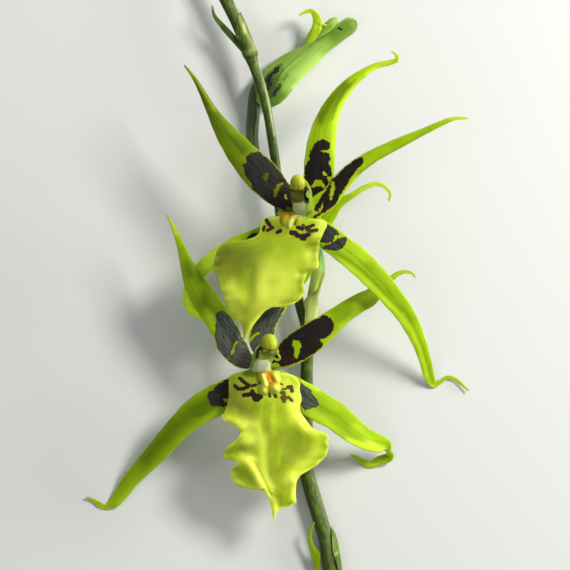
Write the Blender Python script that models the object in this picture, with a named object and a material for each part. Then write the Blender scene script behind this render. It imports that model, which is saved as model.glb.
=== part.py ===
"""A cut flower spray of a cambria orchid, lying on its back with both open blooms facing up.

The stem runs along Y, with its cut end at -Y, and the blooms face +Z. The spray rests on the
foot of its stem, on its unopened bud and on the tips of three drooping sepals.
All tables are in millimetres on the spray's own layout, and ORIGIN_SHIFT moves the whole spray
so that the middle of its underside is the origin.
"""

from math import cos, hypot, pi, radians, sin

import bmesh
import bpy
from mathutils import Matrix, Vector

MM = 0.001
ORIGIN_SHIFT = Vector((3.1, 11.2, 0.0))

# Driving sizes, in millimetres
TEPAL_THICKNESS = 0.8
LIP_THICKNESS = 0.8
BRACT_THICKNESS = 0.7
CLEARANCE = 0.3
ROOT_DISTANCE = 2.75
ROOT_HALF_WIDTH = 1.6
WHORL_STEP = 1.8
# A rolled blade keeps its half width as seen from above, down to this cosine of its roll
STEEP_ROLL_COSINE = 0.4

# How finely the shapes are divided
TEPAL_ROW_LENGTH = 4.6
TEPAL_ROWS_LEAST = 5
TEPAL_SEGMENTS_ACROSS = 4
LIP_ROWS = 26
LIP_SEGMENTS_ACROSS = 12
STEM_ROWS = 46
STEM_SIDES = 10
PEDICEL_ROWS = 12
PEDICEL_SIDES = 8
BUD_PEDICEL_ROWS = 9
BUD_ROWS = 10
BUD_SIDES = 10
BUD_SEPAL_SEGMENTS = 6
TIP_BUD_ROWS = 7
SHEATH_ROWS = 6
SHEATH_SEGMENTS = 5
CALLUS_ROWS = 6
CALLUS_SEGMENTS = 8
COLUMN_ROWS = 8
COLUMN_SIDES = 10
ANTHER_CAP_SEGMENTS = 10
ANTHER_CAP_RINGS = 7

# The middle of each open bloom, where its sepals, petals, lip and column meet
LOWER_HEART = Vector((-9.2, -32.4, 26.0))
UPPER_HEART = Vector((6.2, 31.2, 38.0))

# Centre line of the stem from the cut end to the tip: x, y, z, radius
STEM = (
    (23.5, -172.0, 3.7, 3.6),
    (22.0, -150.0, 3.8, 3.7),
    (20.4, -130.0, 3.7, 3.5),
    (18.6, -115.0, 3.6, 3.3),
    (17.0, -105.0, 3.5, 3.1),
    (14.3, -94.8, 3.5, 3.1),
    (11.5, -85.7, 3.5, 3.1),
    (9.1, -76.6, 3.6, 3.0),
    (8.4, -64.0, 4.0, 2.7),
    (8.8, -54.0, 4.4, 2.55),
    (8.8, -36.0, 5.0, 2.5),
    (8.4, -16.0, 5.8, 2.3),
    (6.6, -10.0, 6.2, 2.1),
    (2.0, 10.0, 7.6, 1.95),
    (-2.0, 28.0, 9.0, 1.9),
    (-2.8, 38.0, 9.8, 1.9),
    (-3.6, 48.0, 10.5, 1.85),
    (-5.2, 58.0, 11.0, 1.85),
    (-6.4, 66.0, 11.4, 1.85),
    (-8.0, 74.0, 11.7, 1.9),
    (-10.4, 82.0, 11.8, 2.0),
    (-12.8, 89.2, 11.8, 2.2),
    (-15.4, 96.4, 11.6, 2.6),
    (-19.4, 106.0, 11.2, 2.6),
    (-23.4, 114.0, 10.8, 2.6),
    (-31.0, 127.0, 9.8, 2.0),
    (-38.5, 137.0, 8.8, 1.4),
)
TIP_BUD = (
    (-38.75, 137.35, 8.7, 1.3),
    (-40.8, 140.0, 8.3, 2.2),
    (-43.4, 143.4, 8.0, 2.7),
    (-46.4, 146.8, 7.8, 2.1),
    (-48.8, 149.4, 7.6, 0.7),
)

# Centre lines of the flower stalks, each ending in the knob that carries a bloom: x, y, z, radius
LOWER_PEDICEL = (
    (5.1, -63.2, 7.1, 1.8),
    (1.0, -56.0, 10.0, 2.1),
    (-3.5, -47.0, 14.2, 2.5),
    (-8.0, -38.6, 18.6, 2.8),
    (-9.2, -33.4, 22.0, 2.5),
    (-9.2, -32.4, 24.4, 2.3),
    (-9.2, -32.4, 27.9, 2.3),
)
UPPER_PEDICEL = (
    (11.4, -14.2, 9.2, 1.9),
    (11.0, -6.0, 10.8, 2.2),
    (12.6, 2.0, 13.0, 2.5),
    (13.4, 8.6, 15.4, 2.7),
    (11.8, 16.4, 19.4, 2.8),
    (8.6, 24.6, 26.0, 2.8),
    (6.6, 30.0, 32.6, 2.5),
    (6.2, 31.2, 36.4, 2.3),
    (6.2, 31.2, 39.9, 2.3),
)
BUD_PEDICEL = (
    (-6.0, 36.8, 8.8, 1.5),
    (-9.4, 44.0, 6.6, 2.0),
    (-12.2, 51.6, 5.0, 2.3),
    (-13.2, 58.0, 3.9, 2.4),
    (-13.2, 64.0, 3.3, 2.5),
    (-12.8, 68.0, 3.1, 2.5),
    (-11.9, 72.3, 3.3, 2.4),
)

# The opening bud along its own middle line: x, y, z, half width across, half height
BUD = (
    (-10.6, 73.6, 3.7, 3.0, 2.8),
    (-8.4, 76.0, 4.2, 4.8, 3.5),
    (-3.0, 80.4, 4.8, 5.7, 4.2),
    (5.6, 87.4, 5.1, 4.4, 4.4),
    (12.0, 92.8, 5.3, 3.6, 4.1),
    (18.5, 99.3, 5.5, 4.3, 3.8),
    (24.1, 103.1, 5.6, 3.8, 3.2),
    (28.2, 105.6, 5.8, 2.4, 2.2),
)
BUD_SEPAL_INSET = 0.4
BUD_CORE_INSET = 1.2
BUD_FRONT_ARC = (-12, 122)
BUD_BACK_ARC = (137, 333)

# The bud's sepal that has opened and curls away at its tip, in the columns of the sepals below
BUD_CURLED_SEPAL = (
    (-8.4, 85.2, 4.8, 0.7, -90, 0.5),
    (-2.0, 89.6, 5.0, 0.8, -90, 0.5),
    (2.8, 92.0, 5.4, 0.8, -86, 0.5),
    (7.4, 95.2, 6.2, 0.9, -60, 0.3),
    (11.0, 100.4, 7.4, 1.6, -20, 0.2),
    (12.8, 103.8, 8.4, 1.9, 0, 0.2),
    (12.3, 107.2, 9.2, 1.6, 0, 0.2),
    (10.3, 109.4, 9.8, 1.0, 0, 0.1),
    (8.0, 109.4, 10.2, 0.6, 0, 0),
    (5.8, 108.3, 10.6, 0.35, 0, 0),
)

# Sepals and petals outward from the heart: x, y, z, half width, roll in degrees, rise of the middle
LOWER_DORSAL_SEPAL = (
    (-9.6, -23.8, 24.4, 4.6, 0, 0.4),
    (-9.0, -18.4, 24.5, 4.9, 0, 0.9),
    (-6.9, -13.2, 24.7, 4.4, 0, 1.0),
    (-3.2, -8.0, 25.0, 3.9, 0, 0.9),
    (1.2, -1.6, 25.5, 3.4, 0, 0.8),
    (5.6, 5.2, 26.0, 3.0, 0, 0.7),
    (10.9, 14.0, 26.6, 2.5, 0, 0.5),
    (17.4, 25.2, 27.4, 2.0, 0, 0.4),
    (22.0, 32.4, 28.4, 1.6, 0, 0.4),
    (26.8, 35.8, 29.2, 1.2, 0, 0.3),
    (31.6, 38.8, 29.6, 1.0, 0, 0.3),
    (36.4, 40.4, 29.6, 0.85, 0, 0.2),
    (40.4, 39.0, 29.0, 0.7, 0, 0.1),
    (42.0, 36.4, 28.0, 0.5, 0, 0),
    (41.6, 33.4, 27.0, 0.35, 0, 0),
)
LOWER_LEFT_PETAL = (
    (-15.2, -30.2, 26.1, 3.6, 0, 0.3),
    (-21.0, -24.4, 26.6, 5.5, 0, 0.8),
    (-24.0, -18.4, 27.2, 5.2, 0, 1.0),
    (-28.2, -11.6, 28.0, 5.2, 0, 1.1),
    (-33.2, -4.0, 28.8, 4.9, 0, 1.1),
    (-36.8, 2.4, 29.4, 3.9, 0, 0.9),
    (-39.6, 9.6, 29.8, 2.5, 0, 0.6),
    (-41.8, 16.0, 30.0, 1.5, 0, 0.4),
    (-44.2, 22.0, 30.4, 0.9, 0, 0.2),
    (-47.2, 28.2, 31.0, 0.35, 0, 0),
)
LOWER_RIGHT_PETAL = (
    (0.0, -28.2, 26.0, 5.0, 0, 0.4),
    (4.4, -25.2, 26.0, 6.0, 0, 0.9),
    (10.6, -21.0, 25.8, 6.0, 0, 1.1),
    (17.2, -16.2, 25.2, 5.0, 0, 1.0),
    (23.2, -11.4, 24.4, 4.1, 0, 0.9),
    (28.4, -8.0, 23.6, 3.8, 0, 0.8),
    (34.6, -4.4, 22.8, 3.0, 0, 0.6),
    (38.8, -0.8, 22.4, 2.0, 0, 0.4),
    (42.4, 2.4, 22.2, 1.2, 0, 0.3),
    (46.0, 4.8, 22.2, 0.9, 0, 0.2),
    (48.8, 5.3, 22.2, 0.7, 0, 0.1),
    (51.0, 4.6, 22.0, 0.5, 0, 0),
    (52.4, 2.8, 21.6, 0.35, 0, 0),
)
LOWER_LEFT_SEPAL = (
    (-17.4, -39.4, 24.0, 4.4, 0, 0.4),
    (-23.6, -44.0, 23.3, 6.0, 0, 0.9),
    (-29.2, -47.0, 22.0, 6.2, 0, 1.2),
    (-34.8, -50.4, 20.2, 5.9, 0, 1.3),
    (-40.2, -54.8, 17.8, 5.2, 0, 1.2),
    (-45.2, -60.0, 15.0, 4.7, 0, 1.1),
    (-50.2, -65.8, 11.8, 4.4, 0, 1.0),
    (-56.4, -72.4, 8.0, 3.8, 0, 0.9),
    (-61.6, -78.0, 4.8, 3.2, 0, 0.7),
    (-66.0, -84.0, 2.2, 2.8, 0, 0.5),
    (-69.6, -88.2, 1.0, 2.1, 0, 0.2),
    (-72.6, -89.6, 0.5, 1.0, 0, 0),
    (-75.2, -88.6, 0.5, 1.1, 0, 0),
    (-77.6, -86.8, 0.8, 0.6, 0, 0),
    (-80.4, -85.6, 1.4, 0.35, 0, 0),
)
LOWER_RIGHT_SEPAL = (
    (1.0, -39.8, 24.0, 4.4, 0, 0.4),
    (6.8, -44.4, 23.4, 5.9, 0, 0.9),
    (13.4, -48.6, 22.2, 6.0, 0, 1.2),
    (20.0, -52.4, 20.4, 5.6, 0, 1.2),
    (26.0, -57.4, 17.6, 5.1, 0, 1.1),
    (30.8, -61.0, 14.4, 4.4, 0, 0.9),
    (36.4, -63.4, 10.2, 3.8, 0, 0.7),
    (40.9, -65.4, 6.6, 2.6, 0, 0.4),
    (42.4, -68.6, 3.4, 1.8, 0, 0.2),
    (39.4, -71.2, 1.2, 1.6, 0, 0.1),
    (35.2, -72.6, 0.5, 1.4, 0, 0),
    (31.2, -72.0, 0.5, 1.0, 0, 0),
    (28.6, -70.6, 0.8, 0.7, 0, 0),
    (26.2, -69.4, 1.4, 0.35, 0, 0),
)
UPPER_DORSAL_SEPAL = (
    (10.6, 38.6, 36.3, 4.0, 0, 0.3),
    (13.2, 44.0, 36.4, 5.9, 0, 0.8),
    (14.0, 52.0, 36.6, 5.9, 0, 1.2),
    (14.8, 58.0, 36.8, 5.5, 0, 1.2),
    (16.8, 66.0, 37.0, 4.4, 0, 1.0),
    (19.0, 71.0, 37.0, 3.7, 0, 0.8),
    (22.6, 76.4, 36.8, 3.0, 0, 0.7),
    (26.6, 80.8, 36.4, 2.4, 0, 0.6),
    (31.2, 84.4, 35.8, 1.7, 0, 0.4),
    (37.0, 87.6, 35.2, 1.2, 0, 0.3),
    (42.0, 88.8, 35.0, 1.0, 0, 0.2),
    (44.6, 89.8, 35.4, 0.8, 0, 0.1),
    (44.4, 91.6, 36.2, 0.6, 0, 0),
    (42.4, 93.2, 37.0, 0.35, 0, 0),
)
UPPER_LEFT_PETAL = (
    (-1.4, 35.8, 38.0, 4.6, 0, 0.3),
    (-9.0, 43.4, 38.2, 6.8, 0, 1.0),
    (-15.2, 49.8, 38.4, 6.0, 0, 1.2),
    (-19.6, 55.2, 38.5, 5.2, 0, 1.1),
    (-24.4, 61.6, 38.5, 3.8, 0, 0.9),
    (-29.3, 69.6, 38.4, 2.1, 0, 0.6),
    (-32.8, 76.4, 38.2, 1.3, 0, 0.4),
    (-35.9, 82.0, 38.0, 0.8, 0, 0.2),
    (-40.3, 87.8, 37.8, 0.35, 0, 0),
)
UPPER_RIGHT_PETAL = (
    (12.4, 31.8, 38.0, 3.0, 0, 0.2),
    (18.0, 35.2, 38.1, 3.8, 0, 0.5),
    (22.2, 40.6, 38.3, 3.7, 0, 0.6),
    (27.4, 46.0, 38.6, 3.2, 0, 0.6),
    (32.2, 49.6, 38.9, 2.8, 0, 0.6),
    (39.0, 53.4, 39.3, 2.4, 0, 0.5),
    (46.8, 57.2, 39.8, 2.0, 0, 0.4),
    (54.6, 60.8, 40.3, 1.4, 0, 0.3),
    (62.4, 64.4, 40.6, 1.1, 0, 0.2),
    (67.2, 66.2, 40.8, 0.8, 0, 0.1),
    (73.2, 66.4, 41.0, 0.35, 0, 0),
)
UPPER_LEFT_SEPAL = (
    (-3.0, 23.6, 36.0, 3.4, 0, 0.3),
    (-10.8, 18.4, 35.0, 4.2, 0, 0.7),
    (-18.0, 15.6, 32.8, 4.4, 0, 0.8),
    (-24.8, 12.4, 29.2, 3.7, 0, 0.8),
    (-32.0, 7.5, 25.0, 3.1, 0, 0.7),
    (-36.2, 2.8, 21.4, 2.8, 0, 0.6),
    (-38.4, -1.8, 18.6, 2.3, 0, 0.4),
    (-39.2, -6.0, 16.6, 1.9, 0, 0.3),
    (-38.2, -10.0, 15.6, 1.5, 0, 0.2),
    (-35.0, -12.4, 15.4, 1.1, 0, 0.1),
    (-31.6, -14.0, 15.8, 0.35, 0, 0),
)
UPPER_RIGHT_SEPAL = (
    (13.0, 23.4, 36.1, 3.6, 0, 0.3),
    (17.6, 18.8, 35.8, 5.0, 0, 0.7),
    (22.4, 14.8, 35.4, 5.0, 0, 0.9),
    (27.2, 11.2, 34.6, 5.2, 0, 1.0),
    (31.8, 7.0, 33.4, 5.1, 0, 1.1),
    (36.8, 2.0, 31.4, 4.9, 0, 1.1),
    (42.2, -4.2, 28.0, 4.4, 0, 1.0),
    (47.4, -10.6, 23.6, 3.9, 0, 0.9),
    (51.2, -17.0, 18.6, 3.4, 0, 0.8),
    (54.2, -23.6, 13.2, 2.8, 0, 0.7),
    (56.6, -30.8, 7.4, 2.4, 0, 0.5),
    (58.4, -37.0, 2.6, 2.1, 0, 0.3),
    (60.2, -40.2, 0.6, 1.3, 0, 0),
    (63.0, -39.0, 0.5, 0.8, 0, 0),
    (65.6, -37.3, 0.7, 0.75, 0, 0),
    (68.6, -38.0, 1.0, 0.7, 0, 0),
    (71.4, -40.2, 1.4, 0.55, 0, 0),
    (74.2, -42.8, 1.8, 0.35, 0, 0),
)

# The compass direction in which each part leaves the heart, in degrees from +X
ROOT_DIRECTIONS = {
    "dorsal_sepal": {"lower": 80, "upper": 62},
    "left_petal": {"lower": 152, "upper": 146},
    "right_petal": {"lower": 26, "upper": 10},
    "left_sepal": {"lower": 218, "upper": 214},
    "right_sepal": {"lower": 322, "upper": 318},
}

# Lips from the heart to the tip: left margin x, y, right margin x, y, height, rise of the middle
LOWER_LIP = (
    (-12.6, -35.4, -5.8, -35.4, 27.8, 0.0),
    (-20.8, -36.0, 3.6, -36.4, 27.9, 0.3),
    (-22.4, -40.0, 6.0, -40.0, 28.0, 0.8),
    (-22.4, -44.0, 6.4, -44.4, 28.0, 1.2),
    (-23.6, -48.8, 6.0, -48.4, 27.8, 1.6),
    (-25.4, -52.6, 6.8, -52.2, 27.5, 2.0),
    (-21.2, -56.0, 9.6, -55.6, 27.2, 2.2),
    (-18.2, -58.4, 14.0, -58.4, 26.8, 2.2),
    (-19.6, -61.6, 17.6, -61.6, 26.4, 2.2),
    (-22.8, -64.8, 17.4, -65.2, 26.0, 2.2),
    (-24.0, -68.2, 16.0, -68.8, 25.6, 2.2),
    (-20.6, -70.8, 13.2, -72.0, 25.2, 2.2),
    (-21.2, -74.4, 8.4, -74.8, 24.8, 2.2),
    (-19.4, -79.0, 4.8, -78.2, 24.2, 2.0),
    (-14.0, -81.6, 4.4, -82.2, 23.6, 1.8),
    (-8.2, -83.0, 4.4, -86.2, 22.8, 1.4),
    (-6.0, -87.4, 0.4, -88.8, 22.0, 0.8),
    (-4.8, -91.4, -3.4, -91.4, 21.2, 0.2),
    (-4.5, -94.2, -3.9, -94.2, 20.6, 0.0),
)
UPPER_LIP = (
    (2.8, 28.2, 9.6, 28.2, 39.8, 0.0),
    (-6.6, 27.2, 15.8, 26.4, 39.9, 0.3),
    (-10.0, 22.4, 16.0, 22.0, 40.0, 0.8),
    (-14.4, 18.4, 14.0, 16.8, 39.9, 1.2),
    (-24.8, 16.2, 13.6, 12.4, 39.5, 1.6),
    (-27.8, 9.8, 13.2, 8.0, 39.0, 2.0),
    (-28.2, 5.6, 7.0, 5.4, 38.4, 2.2),
    (-26.4, 2.2, 5.8, 2.6, 37.9, 2.2),
    (-25.6, -2.0, 7.6, -1.6, 37.3, 2.2),
    (-24.6, -5.6, 6.8, -5.2, 36.6, 2.2),
    (-23.2, -9.6, -1.2, -8.4, 35.6, 2.0),
    (-20.4, -13.2, -7.8, -10.6, 34.6, 1.4),
    (-17.4, -16.2, -12.0, -15.6, 33.6, 0.8),
    (-16.7, -20.0, -15.1, -20.0, 32.8, 0.2),
    (-16.9, -22.4, -16.3, -22.4, 32.2, 0.0),
)
LIP_RUFFLE_HEIGHT = 0.9
LIP_RUFFLE_LENGTH = 15.0
LIP_RUFFLE_SHIFT = 1.5
LIP_RUFFLE_START = 20.0

# The callus, from its foot below the heart, which lies to one side of it in each bloom
CALLUS_FOOT = Vector((0.0, -4.0, WHORL_STEP + LIP_THICKNESS / 2 + 1.1))
LOWER_CALLUS_SHIFT = Vector((2.9, 0.0, 0.0))
UPPER_CALLUS_SHIFT = Vector((-2.6, 0.0, 0.0))
CALLUS_LENGTH = 8.0
CALLUS_HALF_WIDTH = 3.4
CALLUS_RIDGE = 1.5
CALLUS_CLIMB = 0.9

# The column above the heart: share of its lean, y, z, radius
COLUMN_FOOT = WHORL_STEP + LIP_THICKNESS / 2 + CLEARANCE
COLUMN = (
    (0.0, 0.0, 0.3, 2.9),
    (0.0, 0.4, 1.6, 3.4),
    (0.3, 2.4, 4.0, 3.5),
    (0.7, 5.0, 6.0, 3.3),
    (1.0, 7.0, 7.2, 2.6),
)
LOWER_COLUMN_LEAN = 2.6
UPPER_COLUMN_LEAN = -1.0

# The anther cap above the heart: share of the column's lean, y, z, and its half sizes
ANTHER_CAP_PLACE = (1.15, 10.1, WHORL_STEP + 8.4)
ANTHER_CAP_HALF_SIZES = (2.9, 2.7, 2.5)

# Bracts, the small leaves at the joints of the stem: x, y, z, half width, roll in degrees, rise
UPPER_STEM_BRACT = (
    (-19.6, 97.1, 11.6, 0.7, 0, 0.1),
    (-20.3, 98.6, 11.8, 1.2, 0, 0.3),
    (-22.4, 101.1, 12.0, 1.3, 0, 0.3),
    (-25.8, 104.9, 12.0, 1.1, 0, 0.2),
    (-28.6, 108.8, 11.8, 0.7, 0, 0.1),
    (-29.3, 112.6, 11.4, 0.35, 0, 0),
)
LOWER_STEM_BRACT = (
    (13.4, -115.4, 3.6, 0.9, 0, 0.1),
    (12.4, -109.6, 4.2, 1.3, 0, 0.2),
    (10.9, -104.4, 5.0, 1.0, 0, 0.2),
    (10.2, -100.2, 6.0, 0.8, 0, 0.1),
    (10.7, -97.2, 7.0, 0.6, 0, 0),
    (12.0, -94.4, 7.8, 0.35, 0, 0),
)
UPPER_PEDICEL_BRACT = (
    (10.7, -13.6, 12.6, 1.5, 0, 0.2),
    (11.0, -8.0, 13.9, 2.0, 0, 0.3),
    (12.8, -3.4, 15.1, 1.4, 0, 0.2),
    (14.9, 1.0, 16.2, 0.8, 0, 0.1),
    (16.3, 5.2, 17.0, 0.35, 0, 0),
)
# Middle line of the sheath that clasps the foot of the stem: x, y, z, radius
STEM_SHEATH = (
    (19.9, -124.0, 4.1, 4.2),
    (19.1, -117.0, 4.1, 4.1),
    (18.3, -111.0, 4.1, 4.0),
    (17.3, -105.0, 4.0, 3.9),
    (15.7, -98.8, 3.9, 3.65),
)
SHEATH_ARC = (-12, 110)

COLOURS = {
    "tepal_green": (0.42, 0.60, 0.03),
    "lip_yellow": (0.67, 0.74, 0.06),
    "callus_orange": (0.85, 0.42, 0.05),
    "column_white": (0.52, 0.58, 0.36),
    "anther_yellow": (0.70, 0.62, 0.04),
    "stem_green": (0.09, 0.12, 0.03),
    "pedicel_green": (0.22, 0.42, 0.11),
    "bract_green": (0.34, 0.42, 0.10),
}
ROUGHNESS = 0.5


def clear_scene():
    """Remove every object from the scene."""
    for item in list(bpy.data.objects):
        bpy.data.objects.remove(item, do_unlink=True)


def make_materials():
    """Make one material for each colour of the plant."""
    materials = {}
    for name, colour in COLOURS.items():
        material = bpy.data.materials.new(name)
        material.use_nodes = True
        shader = material.node_tree.nodes["Principled BSDF"]
        shader.inputs["Base Color"].default_value = (*colour, 1.0)
        shader.inputs["Roughness"].default_value = ROUGHNESS
        shader.inputs["Metallic"].default_value = 0.0
        materials[name] = material
    return materials


def distance(first, second):
    """Length between the places of two stations."""
    return Vector([b - a for a, b in zip(first[:3], second[:3])]).length


def smooth(stations, count):
    """Read count + 1 evenly spaced stations from the smooth curve through the given ones."""
    spans = [distance(a, b) for a, b in zip(stations, stations[1:])]
    slopes = []
    for index, station in enumerate(stations):
        before = max(index - 1, 0)
        after = min(index + 1, len(stations) - 1)
        slopes.append(slope_at(stations, spans, before, index, after))
    total = sum(spans)
    result = []
    for step in range(count + 1):
        reach = total * step / count
        span = 0
        while span < len(spans) - 1 and reach > spans[span]:
            reach -= spans[span]
            span += 1
        share = min(reach / spans[span], 1.0)
        result.append(hermite(stations[span], stations[span + 1], slopes[span], slopes[span + 1],
                              spans[span], share))
    return result


def slope_at(stations, spans, before, index, after):
    """Rate of change of every value at one station, by length along the chain."""
    if before == index:
        return [(b - a) / spans[0] for a, b in zip(stations[0], stations[1])]
    if after == index:
        return [(b - a) / spans[-1] for a, b in zip(stations[-2], stations[-1])]
    first, second = spans[index - 1], spans[index]
    slope = []
    for low, middle, high in zip(stations[before], stations[index], stations[after]):
        slope.append(((middle - low) / first * second + (high - middle) / second * first)
                     / (first + second))
    return slope


def hermite(start, end, start_slope, end_slope, length, share):
    """Blend two stations with a cubic that keeps their slopes."""
    square = share * share
    cube = square * share
    weights = (2 * cube - 3 * square + 1, (cube - 2 * square + share) * length,
               3 * square - 2 * cube, (cube - square) * length)
    values = zip(start, start_slope, end, end_slope)
    return [a * weights[0] + b * weights[1] + c * weights[2] + d * weights[3]
            for a, b, c, d in values]


def directions(stations):
    """Unit direction of the chain at each station."""
    found = []
    for index in range(len(stations)):
        low = Vector(stations[max(index - 1, 0)][:3])
        high = Vector(stations[min(index + 1, len(stations) - 1)][:3])
        found.append((high - low).normalized())
    return found


def add_object(name, points, faces, material):
    """Make an object from points in millimetres on the spray's layout."""
    mesh = bpy.data.meshes.new(name)
    mesh.from_pydata([(point + ORIGIN_SHIFT) * MM for point in points], [], faces)
    mesh.materials.append(material)
    mesh.validate()
    made = bpy.data.objects.new(name, mesh)
    bpy.context.collection.objects.link(made)
    mesh.shade_smooth()
    return made


def add_sheet(name, rows, thickness, material):
    """Make a thin closed solid round a grid of points, split alike on both faces."""
    width = len(rows[0])
    points = [point for row in rows for point in row]
    faces = []
    for row in range(len(rows) - 1):
        for column in range(width - 1):
            corner = row * width + column
            faces.append((corner, corner + 1, corner + width + 1))
            faces.append((corner, corner + width + 1, corner + width))
    made = add_object(name, points, faces, material)
    solidify = made.modifiers.new("thickness", "SOLIDIFY")
    solidify.thickness = thickness * MM
    solidify.offset = 0.0


def blade_rows(stations, segments):
    """Grid of points of a leaf-like blade, arched across and rolled about its middle line."""
    rows = []
    for station, along in zip(stations, directions(stations)):
        middle = Vector(station[:3])
        half_width, roll, rise = station[3:]
        across = along.cross(Vector((0, 0, 1))).normalized()
        across.rotate(Matrix.Rotation(radians(roll), 3, along))
        outward = across.cross(along)
        reach = half_width / max(cos(radians(roll)), STEEP_ROLL_COSINE)
        row = []
        for step in range(segments + 1):
            side = 2 * step / segments - 1
            row.append(middle + across * reach * side + outward * rise * (1 - side * side))
        rows.append(row)
    return rows


def add_blade(name, stations, thickness, material):
    """Make a leaf-like blade through its stations."""
    length = sum(distance(a, b) for a, b in zip(stations, stations[1:]))
    count = max(round(length / TEPAL_ROW_LENGTH), TEPAL_ROWS_LEAST)
    rows = blade_rows(smooth(stations, count), TEPAL_SEGMENTS_ACROSS)
    add_sheet(name, rows, thickness, material)


def add_tepal(bloom, part, heart, level, stations, material):
    """Make a sepal or petal that springs from beside the knob at a bloom's heart."""
    angle = radians(ROOT_DIRECTIONS[part][bloom])
    foot = heart + Vector((cos(angle), sin(angle), 0)) * ROOT_DISTANCE
    root = (foot.x, foot.y, heart.z + level * WHORL_STEP, ROOT_HALF_WIDTH, 0, 0)
    add_blade(bloom + "_bloom_" + part, (root,) + stations, TEPAL_THICKNESS, material)


def ring(middle, along, reference, width, height, start, end, steps, closed):
    """Points on an ellipse, or on an arc of it, around a middle line."""
    across = along.cross(reference).normalized()
    upward = across.cross(along)
    points = []
    for step in range(steps if closed else steps + 1):
        angle = start + (end - start) * step / steps
        points.append(middle + across * width * cos(angle) + upward * height * sin(angle))
    return points


def add_tube(name, stations, count, sides, material, reference=Vector((0, 0, 1))):
    """Make a round stalk through its stations: x, y, z and radius, or half width and height."""
    stations = smooth(stations, count)
    rings = []
    for station, along in zip(stations, directions(stations)):
        middle = Vector(station[:3])
        rings.append(ring(middle, along, reference, station[3], station[-1],
                          0, 2 * pi, sides, True))
    points = [point for one in rings for point in one]
    faces = []
    for row in range(len(rings) - 1):
        for side in range(sides):
            follow = (side + 1) % sides
            faces.append((row * sides + side, row * sides + follow,
                          (row + 1) * sides + follow, (row + 1) * sides + side))
    faces.append(tuple(reversed(range(sides))))
    faces.append(tuple(range((len(rings) - 1) * sides, len(rings) * sides)))
    made = add_object(name, points, faces, material)
    face_outward(made.data)


def face_outward(mesh):
    """Turn all faces of a closed mesh outward."""
    work = bmesh.new()
    work.from_mesh(mesh)
    bmesh.ops.recalc_face_normals(work, faces=work.faces)
    work.to_mesh(mesh)
    work.free()


def add_wrap(name, stations, count, arc, steps, thickness, material):
    """Make a thin sheath over an arc, in degrees, of the ellipse at each station."""
    stations = smooth(stations, count)
    start, end = radians(arc[0]), radians(arc[1])
    rows = []
    for station, along in zip(stations, directions(stations)):
        rows.append(ring(Vector(station[:3]), along, Vector((0, 0, 1)), station[3], station[4],
                         start, end, steps, False))
    add_sheet(name, rows, thickness, material)


def lip_rows(stations, heart):
    """Grid of points of a lip, with a raised middle and ruffled margins."""
    rows = []
    ladder = [((a + c) / 2, (b + d) / 2, z, a, b, c, d, rise) for a, b, c, d, z, rise in stations]
    for station in smooth(ladder, LIP_ROWS):
        height = station[2]
        left = Vector((station[3], station[4], height))
        right = Vector((station[5], station[6], height))
        rise = station[7]
        run = hypot(station[0] - heart.x, station[1] - heart.y)
        row = []
        for step in range(LIP_SEGMENTS_ACROSS + 1):
            side = 2 * step / LIP_SEGMENTS_ACROSS - 1
            point = left.lerp(right, (side + 1) / 2)
            wave = sin(2 * pi * run / LIP_RUFFLE_LENGTH + side * LIP_RUFFLE_SHIFT)
            ease = min(run / LIP_RUFFLE_START, 1) * min((right - left).length / LIP_RUFFLE_START, 1)
            point.z += rise * (1 - side * side) + LIP_RUFFLE_HEIGHT * wave * ease * abs(side) ** 3
            row.append(point)
        rows.append(row)
    return rows


def add_callus(bloom, foot, material):
    """Make the two fleshy ridges at the foot of the lip, with the groove between them."""
    rows = []
    for row in range(CALLUS_ROWS + 1):
        along = row / CALLUS_ROWS
        swell = sin(pi * (0.2 + 0.8 * along))
        points = []
        for step in range(CALLUS_SEGMENTS + 1):
            side = 2 * step / CALLUS_SEGMENTS - 1
            ridge = CALLUS_RIDGE * swell * abs(sin(pi * side))
            points.append(foot + Vector((side * CALLUS_HALF_WIDTH * (0.55 + 0.45 * swell),
                                         -CALLUS_LENGTH * along, ridge + CALLUS_CLIMB * along)))
        rows.append(points)
    add_sheet(bloom + "_bloom_callus", rows, TEPAL_THICKNESS, material)


def add_column(bloom, heart, lean, material):
    """Make the column, which rises from the knob and leans over the dorsal sepal."""
    foot = heart + Vector((0, 0, COLUMN_FOOT))
    stations = [(*(foot + Vector((lean * share, y, z))), radius) for share, y, z, radius in COLUMN]
    add_tube(bloom + "_bloom_column", stations, COLUMN_ROWS, COLUMN_SIDES, material,
             Vector((1, 0, 0)))


def add_anther_cap(bloom, heart, lean, material):
    """Make the small rounded cap at the end of the column."""
    share, y, z = ANTHER_CAP_PLACE
    centre = heart + Vector((lean * share, y, z))
    work = bmesh.new()
    bmesh.ops.create_uvsphere(work, u_segments=ANTHER_CAP_SEGMENTS, v_segments=ANTHER_CAP_RINGS,
                              radius=1.0)
    points = [Matrix.Diagonal(ANTHER_CAP_HALF_SIZES) @ v.co + centre for v in work.verts]
    faces = [[v.index for v in face.verts] for face in work.faces]
    work.free()
    made = add_object(bloom + "_bloom_anther_cap", points, faces, material)
    face_outward(made.data)


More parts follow.
